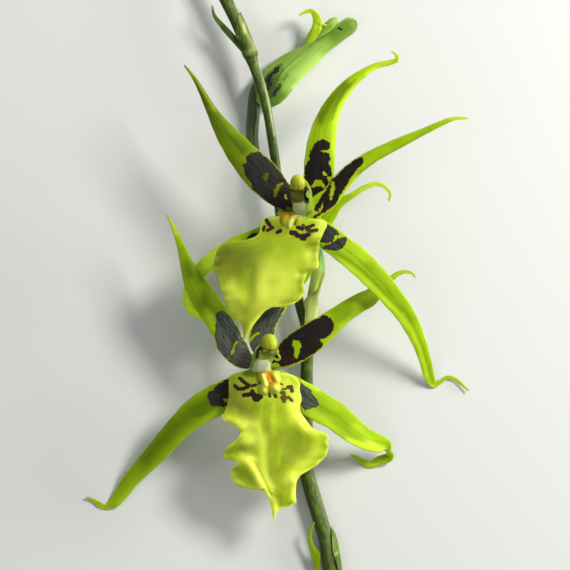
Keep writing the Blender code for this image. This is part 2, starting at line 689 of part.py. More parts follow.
def add_bloom(bloom, heart, lean, callus_shift, tables, materials):
    """Make one open bloom: two whorls of tepals, the lip, its callus, the column and its cap."""
    green = materials["tepal_green"]
    for part in ("dorsal_sepal", "left_sepal", "right_sepal"):
        add_tepal(bloom, part, heart, -1, tables[part], green)
    for part in ("left_petal", "right_petal"):
        add_tepal(bloom, part, heart, 0, tables[part], green)
    add_sheet(bloom + "_bloom_lip", lip_rows(tables["lip"], heart), LIP_THICKNESS,
              materials["lip_yellow"])
    add_callus(bloom, heart + CALLUS_FOOT + callus_shift, materials["callus_orange"])
    add_column(bloom, heart, lean, materials["column_white"])
    add_anther_cap(bloom, heart, lean, materials["anther_yellow"])
    add_tube(bloom + "_bloom_pedicel", tables["pedicel"], PEDICEL_ROWS, PEDICEL_SIDES,
             materials["pedicel_green"], Vector((1, 0, 0)))


def add_bud(materials):
    """Make the opening bud: folded petals between a front and a back sepal, one sepal curled."""
    green = materials["tepal_green"]
    add_tube("bud_pedicel", BUD_PEDICEL, BUD_PEDICEL_ROWS, PEDICEL_SIDES,
             materials["pedicel_green"])
    core = [(*place, width - BUD_CORE_INSET, height - BUD_CORE_INSET)
            for *place, width, height in BUD]
    add_tube("bud_folded_petals", core, BUD_ROWS, BUD_SIDES, green)
    shell = [(*place, width - BUD_SEPAL_INSET, height - BUD_SEPAL_INSET)
             for *place, width, height in BUD]
    for name, arc in (("bud_front_sepal", BUD_FRONT_ARC), ("bud_back_sepal", BUD_BACK_ARC)):
        add_wrap(name, shell, BUD_ROWS, arc, BUD_SEPAL_SEGMENTS, TEPAL_THICKNESS, green)
    add_blade("bud_curled_sepal", BUD_CURLED_SEPAL, TEPAL_THICKNESS, green)


def add_stem(materials):
    """Make the stem with its tip bud, its bracts and the sheath round its foot."""
    pale = materials["bract_green"]
    add_tube("flower_stem", STEM, STEM_ROWS, STEM_SIDES, materials["stem_green"])
    add_tube("stem_tip_bud", TIP_BUD, TIP_BUD_ROWS, PEDICEL_SIDES, materials["pedicel_green"])
    add_blade("upper_stem_bract", UPPER_STEM_BRACT, BRACT_THICKNESS, pale)
    add_blade("lower_stem_bract", LOWER_STEM_BRACT, BRACT_THICKNESS, pale)
    add_blade("upper_pedicel_bract", UPPER_PEDICEL_BRACT, BRACT_THICKNESS, pale)
    sheath = [(*station, station[-1]) for station in STEM_SHEATH]
    add_wrap("stem_sheath", sheath, SHEATH_ROWS, SHEATH_ARC, SHEATH_SEGMENTS, BRACT_THICKNESS, pale)


def main():
    clear_scene()
    materials = make_materials()
    add_stem(materials)
    add_bud(materials)
    add_bloom("lower", LOWER_HEART, LOWER_COLUMN_LEAN, LOWER_CALLUS_SHIFT, {
        "dorsal_sepal": LOWER_DORSAL_SEPAL, "left_sepal": LOWER_LEFT_SEPAL,
        "right_sepal": LOWER_RIGHT_SEPAL, "left_petal": LOWER_LEFT_PETAL,
        "right_petal": LOWER_RIGHT_PETAL, "lip": LOWER_LIP, "pedicel": LOWER_PEDICEL,
    }, materials)
    add_bloom("upper", UPPER_HEART, UPPER_COLUMN_LEAN, UPPER_CALLUS_SHIFT, {
        "dorsal_sepal": UPPER_DORSAL_SEPAL, "left_sepal": UPPER_LEFT_SEPAL,
        "right_sepal": UPPER_RIGHT_SEPAL, "left_petal": UPPER_LEFT_PETAL,
        "right_petal": UPPER_RIGHT_PETAL, "lip": UPPER_LIP, "pedicel": UPPER_PEDICEL,
    }, materials)


main()
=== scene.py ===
"""Looks of a cut cambria orchid spray that lies on its back, seen from straight above.

Every part of the frame is replaced by a finer piece of the same form, with veins, folds and ruffled
margins, and is painted by procedural materials. Tables are in millimetres on the spray's own layout,
which ORIGIN_SHIFT moves to the frame's origin.
"""

from math import cos, pi, radians, sin

import bpy
import numpy as np
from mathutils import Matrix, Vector


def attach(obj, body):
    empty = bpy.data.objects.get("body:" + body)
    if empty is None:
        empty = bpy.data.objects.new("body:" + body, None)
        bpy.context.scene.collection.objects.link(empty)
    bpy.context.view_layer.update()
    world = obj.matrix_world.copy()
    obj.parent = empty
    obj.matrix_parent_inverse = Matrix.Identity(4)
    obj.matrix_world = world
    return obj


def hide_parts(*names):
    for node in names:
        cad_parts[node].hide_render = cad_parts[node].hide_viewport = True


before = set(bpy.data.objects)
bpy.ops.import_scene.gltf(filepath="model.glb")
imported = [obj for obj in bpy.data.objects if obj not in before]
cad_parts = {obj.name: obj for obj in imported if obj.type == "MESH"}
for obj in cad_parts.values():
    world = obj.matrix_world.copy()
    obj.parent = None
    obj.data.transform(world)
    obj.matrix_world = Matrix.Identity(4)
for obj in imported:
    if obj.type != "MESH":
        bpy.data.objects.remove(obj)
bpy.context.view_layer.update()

MM = 0.001
TINY = 1e-12
ORIGIN_SHIFT = np.array((3.1, 11.2, 0.0))
UP = np.array((0.0, 0.0, 1.0))
SIDEWAYS = np.array((1.0, 0.0, 0.0))
HEARTS = {"lower": np.array((-9.2, -32.4, 26.0)), "upper": np.array((6.2, 31.2, 38.0))}

# How the pieces are built
ROOT_DISTANCE = 2.75
ROOT_HALF_WIDTH = 1.6
WHORL_STEP = 1.8
STEEP_ROLL_COSINE = 0.4
TEPAL_THICKNESS = 0.5
BRACT_THICKNESS = 0.4
WRAP_THICKNESS = 0.55
WRAP_RIB = 0.004
WRAP_RIBS = 22
WING_THICKNESS = 0.4
MARGIN_SHARE = 0.35
TIP_ROUNDING = 0.4
BLADE_END = 0.04
TUBE_END = 0.03
WRAP_END = 0.08
EASE_RUN = 12.0
EASE_HALF_WIDTH = 3.0
GROOVE_DEPTH = 0.14
GROOVE_HALF_WIDTH = 0.7
WAVE_HEIGHT = 0.12
WAVE_LENGTH = 11.0
WAVE_SHIFT = 1.3
RIPPLE = 0.014
RIPPLE_LENGTH = 7.3
FOLD_SOFTNESS = 0.4
FOLD_EASE = 0.12
LIP_THICKNESS = 0.5
LIP_ROW_SPACING = 0.28
LIP_COLUMNS = 90
LIP_SIDE_LIMIT = 1.15
LIP_CALM_REACH = 4.0
LIP_RUFFLE_HEIGHT = 0.9
LIP_RUFFLE_LENGTH = 15.0
LIP_RUFFLE_SHIFT = 1.5
LIP_RUFFLE_START = 20.0
LIP_CRIMP = 0.22
LIP_CRIMP_LENGTH = 3.7
LIP_FAN = 14.0
CALLUS_HEIGHT = WHORL_STEP + 1.5
CALLUS_CLIMB = 0.9
CALLUS_DROOP = 1.9
CALLUS_THICKNESS = 0.7
CALLUS_CELLS = 64
CAP_ROWS = 64
CAP_SIDES = 80
POLE_GAP = 0.001
CAP_FURROW = 0.12
CAP_FURROW_WIDTH = 0.11
CAP_BRIM = -0.62
BUD_SEPAL_INSET = 0.4
BUD_CORE_INSET = 1.2
BUD_FRONT_ARC = (-12, 140)
BUD_BACK_ARC = (137, 333)
BUD_TIP = 3.4
FAR_OUT = -9.0
MARK_INSET = 0.3
PLAIN_SHEEN = 0.1
SPOT_GROWTH = 1.25
PATCH_SOFTNESS = 0.6
ROUGH_FROM = 0.2
ROUGH_TO = 0.8
SOFT_STROKES = ("pale", "deep", "smudge", "orange")
FIRM_STROKES = ("ridge", "white", "olive", "dark")


def srgb(*levels):
    """A colour given as screen levels from 0 to 255, as the light values that shaders take."""
    found = []
    for level in levels:
        share = level / 255
        found.append(share / 12.92 if share <= 0.04045 else ((share + 0.055) / 1.055) ** 2.4)
    return (*found, 1.0)


# Colours
TEPAL = srgb(170, 204, 20)
TEPAL_SHADE = srgb(152, 190, 16)
TEPAL_DEEP = srgb(104, 134, 10)
TEPAL_HIGHLIGHT = srgb(208, 240, 56)
TEPAL_MARGIN = srgb(196, 222, 36)
MAROON = srgb(20, 10, 9)
MAROON_EDGE = srgb(80, 24, 26)
PAINTED_SHEEN_GREY = srgb(108, 117, 101)
LIP = srgb(184, 208, 32)
LIP_SHADE = srgb(168, 191, 28)
LIP_BRIGHT = srgb(240, 254, 86)
LIP_DEEP = srgb(112, 122, 24)
SPOT = srgb(44, 14, 16)
SPOT_TAN = srgb(112, 84, 30)
CALLUS = srgb(206, 212, 40)
CALLUS_SHADE = srgb(190, 196, 34)
CALLUS_PALE = srgb(226, 232, 104)
CALLUS_ORANGE = srgb(226, 158, 20)
COLUMN_GREEN = srgb(134, 164, 52)
COLUMN_SIDE = srgb(112, 146, 40)
COLUMN_WHITE = srgb(232, 237, 190)
COLUMN_OLIVE = srgb(100, 106, 18)
WING = srgb(158, 178, 52)
COLUMN_SHADE_AND_SPOTS = srgb(26, 22, 12)
CAP = srgb(164, 169, 24)
CAP_SHADE = srgb(150, 155, 20)
CAP_PAINTED_SHADE = srgb(120, 124, 18)
STEM_GREEN = srgb(62, 88, 8)
STEM_LIGHT = srgb(96, 128, 24)
STEM_SHADED_SIDE = srgb(40, 54, 8)
STEM_FLUSH = srgb(52, 40, 26)
STEM_SPECK = srgb(126, 138, 80)
STEM_HIGHLIGHT = srgb(206, 208, 170)
STEM_RIM_HIGHLIGHT = srgb(112, 122, 76)
STALK = srgb(126, 176, 92)
STALK_DEEP = srgb(62, 76, 38)
STALK_HIGHLIGHT = srgb(236, 255, 124)
BRACT = srgb(132, 168, 50)
BRACT_DEEP = srgb(62, 94, 18)
BRACT_PALE = srgb(234, 240, 140)
BUD_SKIN = srgb(152, 188, 78)
BUD_DEEP = srgb(136, 172, 62)
BUD_PALE = srgb(190, 222, 112)
BUD_GREEN = srgb(82, 120, 24)
BUD_SPECK = srgb(96, 106, 60)
BUD_SMUDGE = srgb(34, 33, 34)
BUD_SLIT_SHADE = srgb(14, 18, 8)
ROOT_RED = srgb(112, 22, 36)

# Surface, light and camera
FLOOR = srgb(226, 226, 222)
FLOOR_SHADE = srgb(218, 218, 215)
FLOOR_HALF = 1.5
SKY = srgb(236, 240, 246)
SKY_STRENGTH = 0.28
LAMPS = {
    "key": ((0.75, 0.55, 0.85), 0.35, 14.0, (1.0, 0.98, 0.93)),
    "fill": ((-0.6, -0.3, 1.2), 1.0, 2.5, (1.0, 1.0, 1.0)),
    "rim": ((0.9, 0.2, 0.25), 0.3, 6.0, (1.0, 1.0, 1.0)),
}
CAMERA_SENSOR = 36.0
CAMERA_LENS = 420.0
CAMERA_HEIGHT = 2.687

# The pieces by node, with these entries:
# line, strand, wings, sheath: stations along the middle, each x, y, z, then for tubes the radius, or
#   half depth and half width; for blades the half width, the rise of the middle and, where it is
#   not nought, the roll in degrees; for sheaths the half width, half height and arc in degrees
# swelling: run along the stem to a joint, its half length and its growth
# direction: compass direction in which a sepal or petal leaves the heart, in degrees from +X
# fold: share of a blade's length from and to, the side it follows at each, slope beyond it
# tone: painted shade or painted light over the whole skin, partly its own brightness, 1 is plain
# grey: how much painted grey sheen, a streaky painted reflection, covers the blotches, 0 for plain maroon
# to 1
# blotches, windows: closed outlines of dark patches and of the green left open in them, x and y
# ladder: left and right ends across a lip, x and y each, then height and rise of the middle
# left, right: margins of a lip from top to tip, x and y
# place: of a callus, middle x, top y, lower y, half width and how far it sinks into the lip
# centre, half_sizes: of an anther cap
# All others are strokes: half width and amount, then the points of a bent line, x and y. The
#   amount is the height in relief, the depth of hollows, how tan a spot is, or the share of colour
# Dark strokes on a column are mostly painted shade in its cavities and under its cap, partly small dark
# spots.
# Pale and deep strokes are mostly painted highlights and painted shade, partly the piece's own paler or
# darker colour.
PIECES = {}
PIECES["flower_stem"] = dict(
    line=(
        (23.5, -172, 3.7, 3.6), (22, -150, 3.8, 3.7), (20.4, -130, 3.7, 3.5), (18.6, -115, 3.6, 3.3),
        (17, -105, 3.5, 3.1), (14.3, -94.8, 3.5, 3.1), (11.5, -85.7, 3.5, 3.1), (9.1, -76.6, 3.6, 3),
        (8.4, -64, 4, 2.7), (8.8, -54, 4.4, 2.55), (8.8, -36, 5, 2.5), (8.4, -16, 5.8, 2.3),
        (6.6, -10, 6.2, 2.1), (2, 10, 7.6, 1.95), (-2, 28, 9, 1.9), (-2.8, 38, 9.8, 1.9),
        (-3.6, 48, 10.5, 1.85), (-5.2, 58, 11, 1.85), (-6.4, 66, 11.4, 1.85), (-8, 74, 11.7, 1.9),
        (-10.4, 82, 11.8, 2), (-12.8, 89.2, 11.8, 2.2), (-15.4, 96.4, 11.6, 2.6), (-19.4, 106, 11.2, 2.6),
        (-23.4, 114, 10.8, 2.6), (-31, 127, 9.8, 2), (-38.5, 137, 8.8, 1.4),
    ),
    swelling=(268, 2.2, 0.12),
    pale=(
        (0.35, 0.45, -20.1, 113.4, -16.8, 105.6), (0.35, 0.8, -10.5, 89.4, -8.4, 83),
        (0.35, 0.5, -8.4, 83, -6.9, 75, -5.5, 68, -4.2, 60), (0.3, 0.5, 12, -73.4, 15.4, -86, 18.6, -97),
    ),
)
PIECES["stem_tip_bud"] = dict(
    line=(
        (-38.75, 137.35, 8.7, 1.3), (-40.8, 140, 8.3, 2.2), (-43.4, 143.4, 8, 2.7),
        (-46.4, 146.8, 7.8, 2.1), (-48.8, 149.4, 7.6, 0.7),
    ),
)
PIECES["upper_stem_bract"] = dict(
    tone=0.58,
    sheath=(
        (-13.3, 91.4, 11.8, 2.45, 2.4, -50, 225), (-13.9, 92.8, 11.8, 2.8, 2.7, -50, 225),
        (-14.9, 95, 11.8, 2.8, 2.75, -50, 225), (-16.4, 98.8, 11.6, 2.95, 2.8, -50, 200),
        (-17.6, 101.6, 11.5, 2.95, 2.8, -50, 150), (-18.8, 104.6, 11.4, 2.9, 2.8, -50, 100),
        (-20.5, 108.4, 11.2, 2.8, 2.7, -45, 45),
    ),
    line=(
        (-14.6, 92.2, 13.2, 0.9, 0.3), (-16.4, 94.6, 13.4, 1.4, 0.4), (-18.3, 96.6, 12.8, 1.4, 0.4),
        (-20.3, 98.6, 11.8, 1.2, 0.3), (-22.4, 101.1, 12, 1.3, 0.3), (-25.8, 104.9, 12, 1.1, 0.2),
        (-28.6, 108.8, 11.8, 0.7, 0.1), (-29.3, 112.6, 11.4, 0.35, 0),
    ),
    pale=(
        (0.7, 0.5, -18.6, 108, -16.2, 102.4, -13.4, 97.2, -12.2, 94.6),
        (0.7, 0.6, -16.8, 104.6, -16.2, 101.6), (0.35, 0.5, -18.6, 99.4, -21, 102, -24.4, 106),
        (1, 0.35, -14.6, 93.4, -13.6, 94.4),
    ),
    deep=(
        (1.1, 1, -17, 95.6, -20.4, 98.8, -24.6, 103.8), (1, 0.8, -13.2, 90.6, -14.8, 91.4),
        (2.6, 0.3, -14, 92, -19, 105), (1.2, 0.3, -24.6, 103.8, -28.4, 109.4),
    ),
)
PIECES["lower_stem_bract"] = dict(
    tone=0.62,
    line=(
        (13.2, -115.4, 3.6, 0.95, 0.1), (12.7, -110.8, 4.1, 1.7, 0.2), (12.3, -108.8, 4.4, 1.8, 0.2),
        (11.4, -106.8, 4.7, 1.25, 0.2), (10.6, -104.8, 5, 0.95, 0.2), (10, -101.2, 5.8, 0.75, 0.1),
        (10.5, -98.2, 6.8, 0.6, 0), (11.9, -95.5, 7.6, 0.3, 0),
    ),
)
PIECES["upper_pedicel_bract"] = dict(
    tone=1.15,
    line=(
        (9.8, -17.4, 12.5, 2, 0.4), (10.3, -14, 12.9, 2.4, 0.5), (10.6, -10, 13.6, 2.5, 0.6),
        (10.7, -6.9, 14.3, 2.9, 0.6), (11.8, -4.5, 15, 1.9, 0.4), (13.2, -2.6, 15.6, 0.8, 0.2),
        (14.3, 0.2, 16.2, 0.6, 0.1), (15.5, 3, 16.8, 0.5, 0), (16.7, 6, 17.3, 0.3, 0),
    ),
    pale=((3, 0.8, 10.6, -14, 11.4, -6), (0.8, 1, 12.8, -14, 13.2, -8, 13.6, -3, 15.2, 1.6, 16.6, 5.6)),
)
PIECES["stem_sheath"] = dict(
    tone=0.75,
    sheath=(
        (19.9, -124, 3.9, 3.8, 3.7, -30, 44), (19.1, -117, 3.9, 3.85, 3.7, -30, 48),
        (18.3, -111, 3.8, 3.95, 3.6, -30, 58), (17.8, -108, 3.7, 3.95, 3.5, -30, 66),
        (17.3, -105, 3.6, 3.9, 3.3, -30, 62), (16.3, -101, 3.6, 3.75, 3.3, -30, 44),
        (15.5, -98.8, 3.6, 3.2, 3.2, -30, 14),
    ),
    pale=((0.5, 0.5, 20, -108.8, 21, -107.8), (0.4, 0.4, 18.4, -107, 18.8, -103)),
    deep=((4, 0.75, 18.6, -112.6, 20.5, -124), (0.7, 0.6, 18.2, -99, 19, -101)),
)
PIECES["bud_pedicel"] = dict(
    line=(
        (-6, 36.8, 8.8, 1.5), (-9.4, 44, 6.6, 2), (-12.2, 51.6, 5, 2.3), (-13.2, 58, 3.9, 2.4),
        (-13.2, 64, 3.3, 2.5), (-12.8, 68, 3.1, 2.5), (-12.6, 74.4, 4.2, 2.2), (-12, 78.6, 4.4, 2),
        (-10, 82.4, 4.6, 1.6), (-7, 85, 4.8, 0.9),
    ),
    deep=((6, 1, -10, 80, -13, 55),),
)
PIECES["bud_folded_petals"] = {}
PIECES["bud_front_sepal"] = dict(
    pale=((2.6, 0.7, 6, 84.2, 13.4, 91), (0.7, 0.8, 3, 79.8, 10, 86.4, 16.6, 92.6, 23, 97, 27.4, 100.2)),
    deep=(
        (2.4, 0.9, -6.6, 74.4, -4.6, 72.6, -1.6, 76.4), (2, 0.5, -4.6, 79.6, -2.6, 82.4),
        (2.4, 0.6, -6.4, 77, -5.4, 83), (0.7, 0.8, -4.2, 81.8, -0.8, 86.6),
        (0.5, 0.35, -0.8, 86.8, 8, 94.4, 17, 101.6), (3.6, 0.8, 20, 100.2, 28.4, 105.6),
        (1, 0.25, -4, 88.8, 1.4, 92.4, 6.2, 94.8), (1.6, 0.4, 14, 99, 20, 106),
    ),
    smudge=(
        (1.3, 1.1, -6.9, 82.6, -5.4, 84.8, -3.4, 86.4), (0.8, 0.75, -3.6, 86.4, -2.8, 87.6, -1.6, 88.4),
        (0.9, 0.75, -7, 79, -6, 80.8), (0.9, 1, -4.6, 76.6, -3.6, 78.2, -2, 80.4),
        (0.8, 0.55, -0.6, 82.8, 0.8, 84.6), (2.6, 0.5, -6, 77.6, -5, 82),
    ),
    spots=((0.3, 0, 21.6, 103.4, 22.8, 102.8),),
)
PIECES["bud_back_sepal"] = dict(
    line=(
        (10.8, 97.2, 6.6, 0.9, 0.3, -30), (13.8, 100.4, 6.9, 1.8, 0.8, -20), (17.2, 103.8, 6.9, 2, 1, -8),
        (19.4, 106, 6.7, 1.8, 0.9), (20.8, 107.5, 6.3, 1.1, 0.5),
    ),
    deep=((1.2, 0.5, 13, 100.6, 18, 104),),
)
PIECES["bud_curled_sepal"] = dict(
    tone=0.85,
    line=(
        (-8.4, 85.2, 4.8, 0.7, 0.5, -90), (-2, 89.6, 5, 0.8, 0.5, -90), (2.8, 92, 5.4, 0.8, 0.5, -86),
        (7.4, 95.2, 6.2, 0.9, 0.3, -60), (11, 100.4, 7.4, 1.8, 0.2, -20), (12.9, 104, 8.4, 2, 0.2),
        (12.6, 107.9, 9.2, 1.5, 0.2), (10.5, 110.3, 9.8, 0.9, 0.1), (8, 109.8, 10.2, 0.6, 0),
        (5.6, 108.3, 10.6, 0.35, 0),
    ),
    strand=((14, 105.2, 9.2, 0.5, 0.1), (15.6, 104.8, 8.4, 0.35, 0.1), (17.6, 104.6, 7.2, 0.3, 0)),
    pale=((1.2, 0.9, 9.6, 96.8, 11.6, 100.4, 12.4, 104), (0.5, 0.6, 13.4, 107, 14.6, 102)),
)
PIECES["lower_bloom_dorsal_sepal"] = dict(
    direction=80, tone=0.9, grey=0.95,
    line=(
        (-9.6, -23.8, 24.4, 4.6, 0.4), (-9, -18.4, 24.5, 4.9, 0.9), (-6.9, -13.2, 24.7, 4.4, 1),
        (-3.2, -8, 25, 3.9, 0.9), (1.2, -1.6, 25.5, 3.4, 0.8), (6.3, 4.8, 26, 3.9, 0.7),
        (10.9, 14, 26.6, 2.5, 0.5), (16.4, 25.8, 27.4, 3.1, 0.5), (21.6, 32.7, 28.4, 2.1, 0.4),
        (26.8, 35.8, 29.2, 1.2, 0.3), (31.6, 38.8, 29.6, 1, 0.3), (36.4, 40.4, 29.6, 0.85, 0.2),
        (40.4, 39, 29, 0.7, 0.1), (42, 36.4, 28, 0.5, 0), (41.6, 33.4, 27, 0.35, 0),
    ),
    blotches=(
        (
            -13.9, -26.8, -13.9, -22, -13.3, -18.2, -11.6, -14.6, -9.4, -11.6, -7, -9.5, -4, -8.8, -0.7,
            -9, -0.9, -10.8, -2.2, -13, -3.4, -15.8, -4.2, -19, -4.4, -24, -6, -29, -12, -30,
        ),
    ),
    windows=((-13.9, -21.4, -12.4, -19.7, -10.4, -18.9, -10.2, -19.7, -12, -20.5, -13.4, -22.2),),
    pale=((0.8, 0.5, 27, 36.4, 35, 40.2, 40.6, 39, 42, 35),),
)
PIECES["lower_bloom_left_sepal"] = dict(
    direction=218, tone=0.82, grey=0.25, fold=(0.15, 0.95, -0.1, 0.2, -0.2),
    line=(
        (-17.4, -39.4, 24, 4.4, 0.4), (-23.6, -44, 23.3, 6, 0.9), (-29.2, -47, 22, 6.2, 1.2),
        (-34.8, -50.4, 20.2, 5.9, 1.3), (-40.2, -54.8, 17.8, 5.2, 1.2), (-45.2, -60, 15, 4.7, 1.1),
        (-50.2, -65.8, 11.8, 4.4, 1), (-56.4, -72.4, 8, 3.8, 0.9), (-61.6, -78, 4.8, 3.2, 0.7),
        (-66, -84, 2.2, 2.8, 0.5), (-69.6, -88.2, 1, 2.1, 0.2), (-72.6, -89.6, 0.5, 1, 0),
        (-75.2, -88.6, 0.5, 1.1, 0), (-77.6, -86.8, 0.8, 0.6, 0), (-80.4, -85.6, 1.4, 0.35, 0),
    ),
    blotches=(
        (
            -22.4, -37.8, -25.2, -38.8, -27.2, -40.2, -28.6, -41.8, -30, -42.7, -31.1, -44, -30.9, -45.6,
            -30.1, -46.8, -29.9, -48.2, -28, -48.5, -25.6, -48.7, -23.4, -48.5, -22.7, -47.5, -23.6,
            -46.8, -24.8, -46.3, -24.4, -45.6, -22.4, -45.3, -16, -45, -14, -38,
        ),
    ),
    pale=((2.2, 0.5, -28, -52, -40, -62, -47, -70.4, -57, -78.6, -66, -87.6),),
    deep=((3.4, 0.8, -26, -43, -36, -49.6, -46, -59, -56, -70), (2.4, 0.9, -29, -49, -34, -51)),
)
PIECES["lower_bloom_right_sepal"] = dict(
    direction=322, tone=0.84, grey=0.8, fold=(0.2, 0.7, 0.25, 0.1, 0.45),
    line=(
        (1, -39.8, 24, 4.4, 0.4), (6.8, -44.4, 23.4, 5.9, 0.9), (13.4, -48.6, 22.2, 6, 1.2),
        (20, -52.4, 20.4, 5.6, 1.2), (26, -57.4, 17.6, 5.1, 1.1), (30.8, -61, 14.4, 4.4, 0.9),
        (36.4, -63.4, 10.2, 3.8, 0.7), (40.8, -65.1, 7.2, 2.6, 0.4), (41.7, -66.8, 5.2, 1.1, 0.2),
        (42.3, -68.9, 3.4, 1.8, 0.2), (38.4, -70.9, 1.4, 1.9, 0.1), (34.2, -72.5, 0.5, 1.45, 0),
        (30.8, -71.3, 0.5, 1.2, 0), (28.4, -69.4, 0.8, 0.75, 0), (26.4, -68.7, 1.4, 0.35, 0),
    ),
    blotches=(
        (
            5, -38.8, 7.2, -39.8, 8.4, -40.7, 10, -41.7, 10.7, -43.2, 12, -44.8, 13.2, -46.6, 13.7, -48,
            12.4, -49, 10.4, -49.5, 8.8, -50.1, 7.6, -49.7, 6.4, -48.4, 2, -47, 0, -41,
        ),
    ),
    pale=(
        (1.2, 0.9, 25, -62.4, 33, -64.9, 40, -66.4), (2, 0.4, 8, -50.8, 15, -53.6, 24, -62, 31, -66),
        (1.8, 0.5, 28, -57, 34, -63, 38, -67), (1, 0.7, 7, -38.6, 13, -42),
        (0.9, 0.5, 29, -70.6, 36, -73, 41, -71.4),
    ),
    deep=((1.6, 0.45, 14, -49.4, 24, -57.6, 32, -63.4), (1, 0.35, 40.4, -70, 36, -70.6)),
)
PIECES["lower_bloom_left_petal"] = dict(
    direction=152, tone=0.79, grey=1, fold=(0.4, 1, 0.1, 0, -0.1),
    line=(
        (-15.2, -30.2, 26.1, 3.6, 0.3), (-21, -24.4, 26.6, 5.5, 0.8), (-24, -18.4, 27.2, 5.2, 1),
        (-28.2, -11.6, 28, 5.2, 1.1), (-33.2, -4, 28.8, 4.9, 1.1), (-36.8, 2.4, 29.4, 3.9, 0.9),
        (-39.6, 9.6, 29.8, 2.5, 0.6), (-41.8, 16, 30, 1.5, 0.4), (-44.2, 22, 30.4, 0.9, 0.2),
        (-47.2, 28.2, 31, 0.35, 0),
    ),
    blotches=(
        (
            -27.2, -11, -26, -10.5, -24.4, -10.5, -22.8, -11.6, -20.8, -13.4, -18, -15, -16.4, -17.2,
            -15.6, -19.6, -15, -22, -14.2, -24.4, -13.2, -27.2, -12.6, -30, -13, -32, -14.4, -32.6, -15.4,
            -33.8, -18, -33.8, -20.4, -32.4, -22.8, -30.6, -25.2, -28.2, -26.4, -26.2, -27.2, -23.2,
            -27.9, -20.4, -28, -17.8, -27.6, -14.8, -27.6, -12.8,
        ),
    ),
    windows=(
        (
            -18.5, -22.3, -19.3, -23.2, -20.1, -25.2, -20.6, -27.2, -21.3, -28, -21.5, -26.8, -20.9,
            -24.8, -19.9, -23,
        ),
    ),
    pale=(
        (0.7, 0.7, -45.6, 26, -43.6, 20), (1.6, 0.45, -31, -10, -28.4, -17),
        (2.2, 0.35, -31.4, 0, -28, -7),
    ),
    deep=((3.6, 0.62, -33, -9, -35.6, -1, -38.6, 7), (1.5, 0.4, -41, 14, -38, 4)),
)
PIECES["lower_bloom_right_petal"] = dict(
    direction=26, tone=0.76, fold=(0.35, 0.85, 0.1, 0.2, -0.2),
    line=(
        (0, -28.2, 26, 5, 0.4), (4.4, -25.2, 26, 6, 0.9), (10.6, -21, 25.8, 6, 1.1),
        (17.2, -16.2, 25.2, 5, 1), (23.2, -11.4, 24.4, 4.1, 0.9), (28.4, -8, 23.6, 3.8, 0.8),
        (34.4, -4.7, 22.8, 3.4, 0.6), (38.8, -0.8, 22.4, 2, 0.4), (42.4, 2.4, 22.2, 1.2, 0.3),
        (46, 4.8, 22.2, 0.9, 0.2), (48.8, 5.3, 22.2, 0.7, 0.1), (51, 4.6, 22, 0.5, 0),
        (52.4, 2.8, 21.6, 0.35, 0),
    ),
    blotches=(
        (
            13, -12.8, 15, -12.1, 16.6, -12.2, 18, -13.2, 19.2, -14.8, 19.6, -16.4, 19.2, -18, 18, -19.7,
            16.2, -21.1, 14.4, -21.5, 14.1, -22, 15, -23, 15.1, -24.4, 14, -26, 12, -27.7, 9.2, -29.4, 6,
            -30.6, 2.8, -31.6, 0, -32.7, -2.8, -34, -4.8, -35.2, -5.2, -34.5, -3, -33, -2.4, -32, -3.6,
            -31.2, -5.4, -31.4, -6, -30.2, -4.4, -28.6, -3, -26.6, -2.4, -23.4, -0.6, -20.6, 1.4, -18.8,
            5.2, -16, 9.4, -13.6,
        ),
    ),
    windows=(
        (3.5, -22.4, 5.6, -22.5, 6.5, -24.3, 5.8, -26, 5, -29.2, 4, -29.1, 3.8, -26, 3.1, -23.6),
        (-5.6, -33.4, -4.2, -31.8, -2.6, -31.2, -2.4, -32, -3.4, -33.2, -5, -34.2),
    ),
    pale=(
        (0.8, 0.6, 42, 2.4, 47, 5.2, 51, 4), (1.2, 0.35, 22, -16.4, 34, -8),
        (2.4, 0.8, 29, -6.6, 35.6, -3.4),
    ),
    deep=((2, 0.4, 20, -10.6, 26, -7.6), (2, 0.5, 20.4, -15.2, 25, -11.6)),
)
